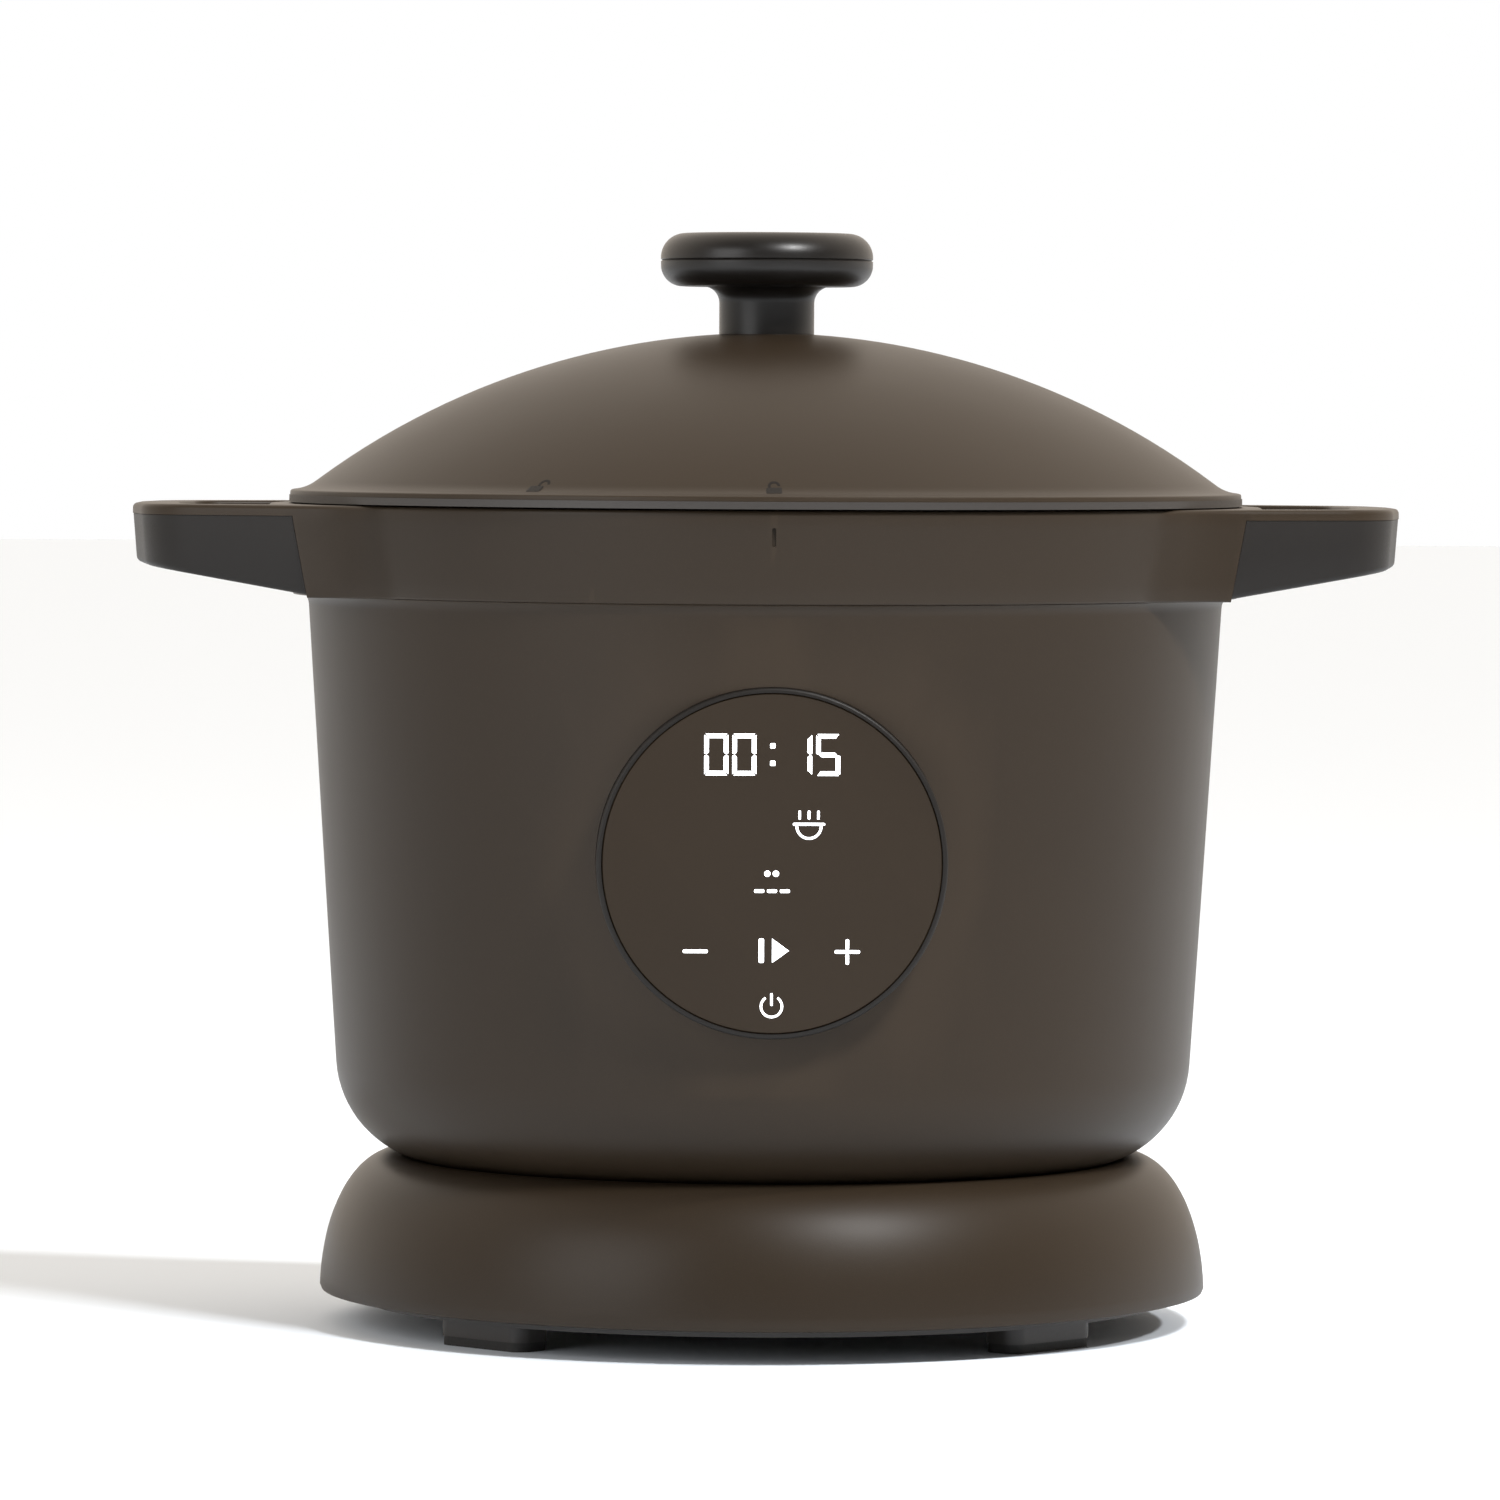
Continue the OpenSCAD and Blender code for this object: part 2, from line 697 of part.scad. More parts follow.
module locking_ring() {
    color("#c4c6c8") difference() {
        union() {
            ring(ring_out_r, ring_in_r, ring_z, lug_t);
            for (i = [0:lug_count - 1])
                ring_sector(ring_in_r + 1, ring_lug_r, ring_z, lug_t, i * lug_pitch, lug_angle);
        }
        on_circle(ring_screws_at) translate([0, 0, ring_z]) screw_hole(m3, 5);
    }
}

module ring_screws() {
    color("#8a8a88") on_circle(ring_screws_at) translate([0, 0, ring_z - well_t]) screw(m3, 5.8);
}

// Steel pot that holds the heating plate and hangs from the collar
module support_pot() {
    throat_r = ring_in_r + 0.6;
    step_z = lid_lug_z - 5;
    round_r = 14;
    color("#b9bbbd") difference() {
        rotate_extrude() polygon(concat(
            [[floor_hole_r, floor_z]], arc([well_r + well_t - round_r, floor_z + round_r], round_r, -90, 0),
            [[well_r + well_t, step_z], [throat_r + well_t, step_z + 3], [throat_r + well_t, ring_z - well_t],
             [ring_out_r, ring_z - well_t], [ring_out_r, ring_z], [throat_r, ring_z], [throat_r, step_z + 3.6],
             [well_r, step_z + 0.6]],
            arc([well_r + well_t - round_r, floor_z + round_r], round_r - well_t, 0, -90),
            [[floor_hole_r, floor_z + well_t]]));
        on_circle(ring_screws_at) translate([0, 0, ring_z]) screw_hole(m3, 5);
        on_circle(plate_screws_at) translate([0, 0, floor_z]) screw_hole(m4, 5);
        translate([0, 0, -terminal_l / 2]) element_terminals(1.5);
    }
}

module heat_shield() {
    foot_z = floor_z + 14.5;
    color("#9fa1a3") union() {
        ring(shield_r + shield_t, shield_r, foot_z, collar_z - foot_z - 4);
        ring(shield_r + shield_t, well_r + well_t + 0.1, foot_z, shield_t);
    }
}

module heating_plate() {
    color("#a9abad") difference() {
        union() {
            translate([0, 0, plate_top_z - plate_t]) cylinder(r = plate_r, h = plate_t);
            on_circle(plate_screws_at) translate([0, 0, floor_z + well_t])
                cylinder(r = 6, h = plate_top_z - plate_t - floor_z - well_t + 1);
        }
        translate([0, 0, floor_z]) cylinder(r = 14, h = 40);
        on_circle(plate_screws_at) translate([0, 0, floor_z]) cylinder(r = m4[0] + fit, h = 8);
        translate([0, 0, plate_top_z - plate_t]) element_body(4.3);
        for (x = [-1, 1]) translate([x * 20, 0, floor_z]) cylinder(r = m3[0] + fit, h = 11.2);
    }
}

// The element's tube, half buried in the plate: a ring with a gap at the front
module element_body(tube_r) {
    rotate(-90 + element_gap) rotate_extrude(angle = 360 - 2 * element_gap) translate([element_r, 0]) circle(tube_r);
}

module element_terminals(more = 0) {
    for (side = [-1, 1]) rotate(-90 + side * element_gap) translate([element_r, 0, terminal_z])
        cylinder(r = terminal_r + more, h = terminal_l);
}

module heating_element() {
    color("#7f7a74") union() {
        translate([0, 0, plate_top_z - plate_t]) element_body(4.2);
        element_terminals();
    }
}

module plate_screws() {
    color("#8a8a88") on_circle(plate_screws_at) translate([0, 0, floor_z]) screw(m4, 7.5);
}

// Bridge under the plate that guides the sensor's stem
module sensor_bracket() {
    bridge_t = 1.5;
    legs_z = plate_top_z - plate_t;
    color("#c4c6c8") difference() {
        union() {
            translate([-26, -7, floor_z]) cube([52, 14, bridge_t]);
            for (x = [-1, 1]) translate([x * 24.5 - 1.5, -7, floor_z]) cube([3, 14, legs_z - floor_z]);
            translate([0, 0, floor_z - 2]) cylinder(r = 6, h = 3);
        }
        translate([0, 0, floor_z - 4]) cylinder(r = stem_bore_r, h = 10);
    }
}
stem_bore_r = 3 + run;
spring_z = floor_z + 1.5;
sensor_cap_t = 2;
sensor_top_z = plate_top_z - 0.1;

module sensor_plunger() {
    color("#d4d6d8") union() {
        translate([0, 0, sensor_top_z - sensor_cap_t]) cylinder(r = 12, h = sensor_cap_t);
        translate([0, 0, floor_z - 6]) cylinder(r = 3, h = sensor_top_z - floor_z + 5);
    }
}

module sensor_spring() {
    color("#8f9295") translate([0, 0, spring_z + 0.05])
        coil(6.5, 0.5, sensor_top_z - sensor_cap_t - spring_z - 0.1, 5);
}

// Clipped under the plate, just inside the heating element
module thermal_fuse() {
    fuse_r = 2.1;
    fuse_l = 14;
    color("#c9b27c") rotate(210)
        translate([element_r - fuse_l / 2 - 5, 0, plate_top_z - plate_t - fuse_r - 0.1]) rotate([0, 90, 5])
            cylinder(r = fuse_r, h = fuse_l, center = true);
}

module pressure_switch() {
    color("#e2ddd2") translate([-40, -34, seat_z + 3.2]) {
        cube([20, 12, 8.6]);
        translate([10, 6, 8.6]) cylinder(r = 2, h = 0.5);
    }
}

module lid_sensor() {
    color("#2a2a2a") rotate(200) translate([ring_out_r + 4, 0, ring_z - 4]) cube([6, 12, 6], center = true);
}

// ---------------------------------------------------------------- display

// Puts children, which point along +Z, on the display's axis with z = 0 at the given distance in front
module facing_front(y) {
    translate([0, -y, panel_z]) rotate([90, 0, 0]) children();
}

module display_bezel() {
    back = shield_r - 5;
    depth = panel_face - back;
    color("#37322e") difference() {
        facing_front(back) rotate_extrude() polygon(concat(
            [[board_r + 0.3, 0], [panel_r, 0]],
            arc([panel_r - 1, depth - 1], 1, 0, 90, 6),
            [[lens_r + 0.1, depth], [lens_r + 0.1, depth - lens_recess - lens_t],
             [board_r + 0.3, depth - lens_recess - lens_t]]));
        translate([0, 0, panel_z - panel_r - 1]) cylinder(r = shield_r + shield_t + gap, h = 2 * panel_r + 2);
        // notch for the display cable
        translate([-2, -back - 8.6, panel_z - panel_r - 1]) cube([4, 8, 10]);
    }
}

module display_lens() {
    color("#1d1b1a") facing_front(guide_face) union() {
        cylinder(r = lens_r, h = lens_t - 0.4);
        translate([0, 0, lens_t - 0.4]) cylinder(r1 = lens_r, r2 = lens_r - 0.4, h = 0.4);
    }
}

module light_guide() {
    color("#e8e6e0") facing_front(module_face) cylinder(r = board_r, h = guide_t);
}

digits_rise = 0.6;

module digit_module() {
    color("#262626") facing_front(board_face) translate([-25, panel_r * digits_rise - 8, 0])
        cube([50, 16, module_t]);
}

module touch_pads() {
    color("#5b5b58") facing_front(board_face)
        for (p = [[-0.45, -0.52], [0, -0.52], [0.45, -0.52], [0, -0.83]])
            translate(p * panel_r) cylinder(r = 3.2, h = module_t);
}

module display_board() {
    color("#2f5d34") facing_front(board_back) cylinder(r = board_r, h = pcb_t);
}

module control_chip() {
    color("#1a1a1a") facing_front(board_back) translate([-6, 10, -1.8]) cube([12, 12, 1.8]);
}

module board_retainer() {
    color("#2b2725") facing_front(board_back - retainer_t) difference() {
        cylinder(r = board_r, h = retainer_t);
        translate([0, 0, -1]) cylinder(r = board_r - 4, h = retainer_t + 2);
    }
}

// ---------------------------------------------------------------- cooking pot

module inner_pot() {
    round_r = 16;
    inner_round = round_r - pot_wall;
    color("#8b8f92") rotate_extrude() polygon(concat(
        [[0, pot_z]], arc([pot_out_r - round_r, pot_z + round_r], round_r, -90, 0, 10),
        [[pot_out_r, pot_rim_z - 5]],
        bend([pot_out_r, pot_rim_z - 4], [pot_out_r, pot_rim_z - 1.6], [pot_out_r + 2.4, pot_rim_z - 1.6], 4),
        arc([pot_rim_r - 0.8, pot_rim_z - 0.8], 0.8, -90, 90, 6),
        bend([pot_r + 3, pot_rim_z], [pot_r, pot_rim_z], [pot_r, pot_rim_z - 3], 4),
        arc([pot_r - inner_round, pot_z + pot_base_t + inner_round], inner_round, 0, -90, 10),
        [[0, pot_z + pot_base_t]]));
}

// ---------------------------------------------------------------- inner lid

module inner_lid_plate() {
    color("#c4c6c8") difference() {
        translate([0, 0, inner_z]) cylinder(r = inner_r, h = inner_t);
        translate([0, 0, inner_z - 1]) cylinder(r = pivot_r + run, h = inner_t + 2);
        on_circle([pot_r * 0.55, 15, 12]) translate([0, 0, inner_z - 1]) cylinder(r = 4, h = inner_t + 2);
    }
}

module sealing_ring() {
    top = plate_z - gap - 0.1;
    groove_r = inner_r + 0.1;
    color("#c9c4bb") rotate_extrude() polygon([
        [seal_in_r, inner_z - 1.6], [seal_in_r + 3, seal_z], [seal_r - 0.4, seal_z], [seal_r, seal_z + 2.4],
        [seal_r - 2.2, seal_z + 4], [seal_r - 2.2, top - 3], [seal_r, top - 1.6], [seal_r - 0.6, top],
        [seal_r - 3, top], [seal_r - 5, inner_z + inner_t + 3], [seal_in_r + 0.6, inner_z + inner_t + 1.8],
        [seal_in_r, inner_z + inner_t + 0.1], [groove_r, inner_z + inner_t + 0.1], [groove_r, inner_z - 0.1],
        [seal_in_r, inner_z - 0.1]]);
}

module lid_pivot() {
    color("#b9bbbd") rotate_extrude() polygon([
        [0, inner_z - 1.8], [8, inner_z - 1.8], [8, inner_z], [pivot_r, inner_z], [pivot_r, boss_top_z + gap],
        [pivot_r - 0.8, boss_top_z + gap], [pivot_r - 0.8, boss_top_z + gap + clip_t],
        [pivot_r, boss_top_z + gap + clip_t], [pivot_r, boss_top_z + gap + clip_t + 1],
        [0, boss_top_z + gap + clip_t + 1.6]]);
}

module pivot_clip() {
    color("#8f9295") difference() {
        ring(7, pivot_r - 0.8 + run, boss_top_z + gap, clip_t);
        translate([5, 0, boss_top_z]) cube([10, 3, 8], center = true);
    }
}

// ---------------------------------------------------------------- lid

function lid_outside() = concat(
    [for (i = [0:28]) let (r = (lid_r - flare_w) * i / 28) [r, dome_z(r)]],
    bend([lid_r - flare_w + 0.3, dome_z(lid_r - flare_w) - 0.22], [lid_r - 5.2, shell_z + lip_t + 0.35],
         [lid_r - 1.2, shell_z + lip_t], 6),
    bend([lid_r - 0.7, shell_z + lip_t - 0.1], [lid_r, shell_z + lip_t - 0.2], [lid_r, shell_z + lip_t - 0.9], 3));

module dome_hollow() {
    edge_r = lid_r - 6;
    rotate_extrude() polygon(concat(
        [for (i = [0:16]) let (r = edge_r * i / 16) [r, dome_z(r, -dome_wall)]],
        [[edge_r + 0.6, shell_z - 1], [0, shell_z - 1]]));
}

module vent_plan(inset = 0) {
    translate([0, vent_y]) rounded_rect(vent_w - 2 * inset, vent_d - 2 * inset, 12 - inset);
}

module lid_shell() {
    color("#5a5048") difference() {
        rotate_extrude() polygon(concat(lid_outside(), [[lid_r, shell_z], [0, shell_z]]));
        dome_hollow();
        // opening under the steam cover
        translate([0, 0, shell_z - 1]) linear_extrude(lid_rise + 10) vent_plan(5);
        translate([0, 0, shell_z]) cylinder(r = m5[0] + fit, h = lid_rise + 10);
    }
}

module lid_liner() {
    inner = seal_in_r - 38.5;
    step_r = skirt_r + 1;
    boss_r = 5;
    color("#403934") difference() {
        union() {
            ring(lid_r + 0.3, inner, liner_z, liner_t);
            ring(step_r, inner, lid_plate_top, liner_z - lid_plate_top + 1);
            on_circle(lid_screws_at) translate([0, 0, liner_z]) cylinder(r = boss_r, h = 10);
        }
        on_circle(lid_screws_at) translate([0, 0, lid_plate_top - 1]) cylinder(r = m3[0] + fit, h = 11);
        translate([0, vent_y, lid_plate_top - 1]) cylinder(r = spout_r + fit, h = 10);
        translate([float_x, float_y, lid_plate_top - 1]) cylinder(r = 4 + fit, h = 10);
    }
}

// Steel plate that carries the lugs and holds the pressure
module pressure_plate() {
    color("#c4c6c8") difference() {
        union() {
            translate([0, 0, plate_z]) cylinder(r = skirt_r, h = lid_plate_t);
            ring(skirt_r, skirt_r - 2, lid_lug_z, plate_z - lid_lug_z + 1);
            for (i = [0:lug_count - 1])
                ring_sector(lid_lug_r, skirt_r - 1, lid_lug_z, lug_t, i * lug_pitch, lug_angle);
            translate([0, 0, plate_z]) cylinder(r = 9, h = boss_h);
        }
        translate([0, 0, plate_z - 1]) cylinder(r = pivot_r + run, h = boss_h + 2);
        on_circle(lid_screws_at) translate([0, 0, plate_z]) screw_hole(m3, 5);
        translate([0, vent_y, plate_z - 1]) cylinder(r = spout_r - 2 + fit, h = 6);
        translate([float_x, float_y, plate_z - 1]) cylinder(r = 3 + fit, h = 6);
    }
}

module lid_screws() {
    color("#8a8a88") on_circle(lid_screws_at) translate([0, 0, plate_z]) screw(m3, 10);
}

module lid_magnet() {
    color("#9fa1a3") rotate(200) translate([skirt_r + 13, 0, shell_z]) cylinder(r = 3, h = 2.4);
}

valve_travel = 3;
spout_top_z = dome_z(vent_y) - 4 - valve_travel;

// Pipe that the release valve closes
module valve_spout() {
    color("#b9bbbd") translate([0, vent_y, 0]) difference() {
        union() {
            translate([0, 0, lid_plate_top]) cylinder(r = spout_r, h = spout_top_z - lid_plate_top);
            translate([0, 0, plate_z - 2]) cylinder(r = spout_r - 2, h = lid_plate_t + 3);
        }
        translate([0, 0, plate_z - 4]) cylinder(r = spout_bore, h = lid_rise + 10);
    }
}

guide_top_z = dome_z(vent_y) + 3;

module float_guide() {
    color("#b9bbbd") translate([float_x, float_y, 0]) difference() {
        union() {
            translate([0, 0, lid_plate_top]) cylinder(r = 4, h = guide_top_z - lid_plate_top);
            translate([0, 0, plate_z]) cylinder(r = 3, h = lid_plate_t + 1);
        }
        translate([0, 0, plate_z - 2]) cylinder(r = float_r + run, h = lid_rise + 10);
    }
}

float_hole_r = 3.8;
float_top_z = dome_z(norm([float_x, float_y]), vent_proud) - 0.4;

module steam_cover() {
    roof = 2;
    color("#332e2b") difference() {
        intersection() {
            translate([0, 0, shell_z]) linear_extrude(lid_rise + 20) vent_plan();
            translate([0, 0, dome_c]) sphere(dome_r + vent_proud, $fn = 180);
        }
        translate([0, 0, dome_c]) sphere(dome_r + 0.02, $fn = 180);
        intersection() {
            translate([0, 0, shell_z]) linear_extrude(lid_rise + 20) vent_plan(roof + 1);
            translate([0, 0, dome_c]) sphere(dome_r + vent_proud - roof, $fn = 180);
        }
        translate([float_x, float_y, shell_z]) cylinder(r = float_hole_r, h = lid_rise + 20);
        // outlet slots in the back wall
        for (i = [-3:3]) translate([i * 6.5, vent_y + vent_d / 2, dome_z(vent_y + vent_d / 2) + 5.4])
            cube([3, 12, 5.2], center = true);
    }
}

knob_z = shell_z + lid_rise;
knob_top_z = knob_z + knob_h;
knob_seam_z = knob_top_z - 8.3;
knob_under_z = knob_top_z - 16.3;

module knob_base() {
    edge = 6.6;
    fillet = 5;
    seam = 0.4;
    color("#1f1c1b") difference() {
        rotate_extrude() polygon(concat(
            [[0, knob_z - 3], [stem_r, knob_z - 3]],
            arc([stem_r + fillet, knob_under_z - fillet], fillet, 180, 90, 8),
            arc([knob_r - edge, knob_under_z + edge], edge, -90, -8, 10),
            [[knob_r, knob_seam_z - seam], [knob_r - seam, knob_seam_z], [0, knob_seam_z]]));
        translate([0, 0, dome_c]) sphere(dome_r + 0.02, $fn = 180);
        translate([0, 0, knob_z - 5]) cylinder(r = m5[0] + fit, h = 18);
    }
}

module knob_cap() {
    edge = 7.4;
    seam = 0.4;
    color("#2a2624") rotate_extrude() polygon(concat(
        [[0, knob_seam_z], [knob_r - seam, knob_seam_z], [knob_r, knob_seam_z + seam]],
        arc([knob_r - edge, knob_top_z - edge], edge, 4, 90, 12),
        [[0, knob_top_z]]));
}

module knob_screw() {
    color("#8a8a88") translate([0, 0, dome_z(0, -dome_wall) - 0.1]) screw(m5, 14);
}

// ---------------------------------------------------------------- valve and float

module release_valve() {
    color("#26221f") translate([0, vent_y, spout_top_z + 0.2]) difference() {
        union() {
            cylinder(r = valve_r, h = 6.4);
            translate([0, 0, 6.3]) cylinder(r1 = valve_r, r2 = valve_r - 1.2, h = 1.2);
            translate([0, 0, -3]) cylinder(r1 = 1.2, r2 = 2.2, h = 3.2);
        }
        translate([0, 0, -4.5]) ring(valve_r - 1.6, 3.4, 4, 4);
    }
}

module float_pin() {
    head_r = 3.3;
    stem_z = seal_top_z;
    color("#c23b2a") translate([float_x, float_y, 0]) union() {
        translate([0, 0, stem_z - 2]) cylinder(r = float_r, h = guide_top_z + 0.3 - stem_z + 2);
        translate([0, 0, guide_top_z + 0.2]) cylinder(r = head_r, h = float_top_z - guide_top_z - 0.2);
    }
}
seal_top_z = plate_z - float_travel - 0.3;

module float_seal() {
    color("#c9c4bb") translate([float_x, float_y, 0]) difference() {
        translate([0, 0, seal_top_z - 3]) cylinder(r = 4.6, h = 3);
        translate([0, 0, seal_top_z - 2]) cylinder(r = float_r, h = 3);
    }
}

foot_pads();
bottom_cover();
base_shell();
bottom_screws();
housing_screws();
power_inlet();
inlet_blades();
power_board();
board_screws();
transformer();
relay();
capacitors();
mains_wires();
display_cable();
housing_shell();
collar();
handle_grip_left();
handle_grip_right();
handle_screws();
locking_ring();
ring_screws();
support_pot();
heat_shield();
heating_plate();
heating_element();
plate_screws();
sensor_bracket();
sensor_spring();
thermal_fuse();
pressure_switch();
lid_sensor();
display_bezel();
display_lens();
light_guide();
digit_module();
touch_pads();
display_board();
control_chip();
board_retainer();
sensor_plunger();
inner_pot();
inner_lid_plate();
sealing_ring();
lid_pivot();
pivot_clip();
lid_shell();
lid_liner();
pressure_plate();
lid_screws();
lid_magnet();
valve_spout();
float_guide();
steam_cover();
knob_base();
knob_cap();
knob_screw();
release_valve();
float_pin();
float_seal();
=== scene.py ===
import json
import math

import bmesh
import bpy
import numpy as np
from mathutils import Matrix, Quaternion, Vector
from mathutils.bvhtree import BVHTree


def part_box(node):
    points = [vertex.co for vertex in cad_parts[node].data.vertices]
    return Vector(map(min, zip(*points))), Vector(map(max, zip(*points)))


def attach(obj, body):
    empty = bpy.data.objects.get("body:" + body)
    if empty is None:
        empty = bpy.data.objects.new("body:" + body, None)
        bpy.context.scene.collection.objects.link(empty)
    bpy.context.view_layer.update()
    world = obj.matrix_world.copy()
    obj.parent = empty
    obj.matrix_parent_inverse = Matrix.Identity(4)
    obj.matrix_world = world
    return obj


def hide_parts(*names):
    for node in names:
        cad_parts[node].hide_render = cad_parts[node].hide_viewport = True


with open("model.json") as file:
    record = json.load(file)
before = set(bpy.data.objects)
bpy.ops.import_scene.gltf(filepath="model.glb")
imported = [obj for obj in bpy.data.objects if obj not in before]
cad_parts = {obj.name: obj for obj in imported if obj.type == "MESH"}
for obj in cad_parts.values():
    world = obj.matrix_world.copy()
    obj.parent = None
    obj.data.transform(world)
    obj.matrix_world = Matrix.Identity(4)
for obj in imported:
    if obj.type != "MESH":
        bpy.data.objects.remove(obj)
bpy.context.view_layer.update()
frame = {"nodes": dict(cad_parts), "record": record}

MM = 0.001
TAU = 2 * math.pi
scene = bpy.context.scene

# ---------------------------------------------------------------- camera

CAMERA_DISTANCE = 2.737
CAMERA_HEIGHT = 0.2835
CAMERA_AZIMUTH = math.radians(-1.0)
CAMERA_PITCH = math.radians(-2.25)
CAMERA_YAW = math.radians(0.093)
CAMERA_ROLL = math.radians(0.3)


def make_camera():
    data = bpy.data.cameras.new("camera")
    data.sensor_width = 36
    data.lens = 213.6
    data.clip_start, data.clip_end = 0.05, 60
    camera = bpy.data.objects.new("camera", data)
    bpy.context.collection.objects.link(camera)
    camera.location = (CAMERA_DISTANCE * math.sin(CAMERA_AZIMUTH),
                       -CAMERA_DISTANCE * math.cos(CAMERA_AZIMUTH), CAMERA_HEIGHT)
    level = Vector((-camera.location.x, -camera.location.y, 0)).to_track_quat("-Z", "Y")
    turn = Quaternion((0, 0, 1), CAMERA_YAW)
    tilt = Quaternion((1, 0, 0), CAMERA_PITCH)
    roll = Quaternion((0, 0, 1), CAMERA_ROLL)
    camera.rotation_mode = "QUATERNION"
    camera.rotation_quaternion = turn @ level @ tilt @ roll
    scene.camera = camera


make_camera()

# ---------------------------------------------------------------- studio

scene.view_settings.view_transform = "Standard"
FLOOR_SIZE = 30
FLOOR_COLOUR = (0.86, 0.92, 0.99)
# light that comes from behind and the sides, and from in front
SKY_BEHIND = 1.3
SKY_FRONT = 0.04
SKY_TINT = (1.0, 0.9, 0.79)


def make_world():
    """White surroundings, whose light is strong behind and beside the object and weak in front."""
    world = bpy.data.worlds.new("studio")
    scene.world = world
    world.use_nodes = True
    tree = world.node_tree
    background = tree.nodes["Background"]
    tint = tree.nodes.new("ShaderNodeMix")
    tint.data_type = "RGBA"
    tint.inputs[6].default_value = (*SKY_TINT, 1)
    tint.inputs[7].default_value = (1, 1, 1, 1)
    tree.links.new(tint.outputs[2], background.inputs["Color"])
    direction = tree.nodes.new("ShaderNodeTexCoord")
    parts = tree.nodes.new("ShaderNodeSeparateXYZ")
    tree.links.new(direction.outputs["Generated"], parts.inputs["Vector"])
    ramp = tree.nodes.new("ShaderNodeMapRange")
    ramp.interpolation_type = "SMOOTHSTEP"
    ramp.inputs["From Min"].default_value = -0.6
    ramp.inputs["From Max"].default_value = 0.4
    ramp.inputs["To Min"].default_value = SKY_FRONT
    ramp.inputs["To Max"].default_value = SKY_BEHIND
    tree.links.new(parts.outputs["Y"], ramp.inputs["Value"])
    seen = tree.nodes.new("ShaderNodeLightPath")
    pick = tree.nodes.new("ShaderNodeMix")
    tree.links.new(seen.outputs["Is Camera Ray"], pick.inputs["Factor"])
    tree.links.new(seen.outputs["Is Camera Ray"], tint.inputs["Factor"])
    tree.links.new(ramp.outputs["Result"], pick.inputs[2])
    pick.inputs[3].default_value = 1.0
    tree.links.new(pick.outputs[0], background.inputs["Strength"])


def area_light(name, location, aim, size, power):
    data = bpy.data.lights.new(name, "AREA")
    data.shape = "RECTANGLE"
    data.size, data.size_y = size
    data.energy = power
    light = bpy.data.objects.new(name, data)
    bpy.context.collection.objects.link(light)
    light.location = location
    light.rotation_mode = "QUATERNION"
    light.rotation_quaternion = (Vector(aim) - Vector(location)).to_track_quat("-Z", "Y")


def sun_light(name, azimuth, elevation, strength, spread):
    """Light from far away, its azimuth counted from the front towards the right, all in degrees."""
    data = bpy.data.lights.new(name, "SUN")
    data.energy = strength
    data.angle = math.radians(spread)
    light = bpy.data.objects.new(name, data)
    bpy.context.collection.objects.link(light)
    flat, rise = math.radians(azimuth), math.radians(elevation)
    towards = Vector((math.sin(flat) * math.cos(rise), -math.cos(flat) * math.cos(rise), math.sin(rise)))
    light.rotation_mode = "QUATERNION"
    light.rotation_quaternion = (-towards).to_track_quat("-Z", "Y")
    light.visible_glossy = False


def make_floor():
    material = bpy.data.materials.new("studio_floor")
    material.use_nodes = True
    shader = material.node_tree.nodes["Principled BSDF"]
    shader.inputs["Base Color"].default_value = (*FLOOR_COLOUR, 1)
    shader.inputs["Roughness"].default_value = 0.95
    mesh = bpy.data.meshes.new("studio_floor")
    half = FLOOR_SIZE / 2
    corners = [(-half, -half, 0), (half, -half, 0), (half, half, 0), (-half, half, 0)]
    mesh.from_pydata(corners, [], [(0, 1, 2, 3)])
    mesh.materials.append(material)
    floor = bpy.data.objects.new("studio_floor", mesh)
    bpy.context.collection.objects.link(floor)


make_world()
make_floor()
area_light("key", (-1.7, -1.7, 1.0), (0, 0, 0.15), (1.5, 1.5), 28)
area_light("over", (0.72, -1.1, 1.5), (0.04, -0.1, 0.05), (0.32, 0.32), 38)
sun_light("side", 76, 40, 1.75, 4)

# ---------------------------------------------------------------- materials


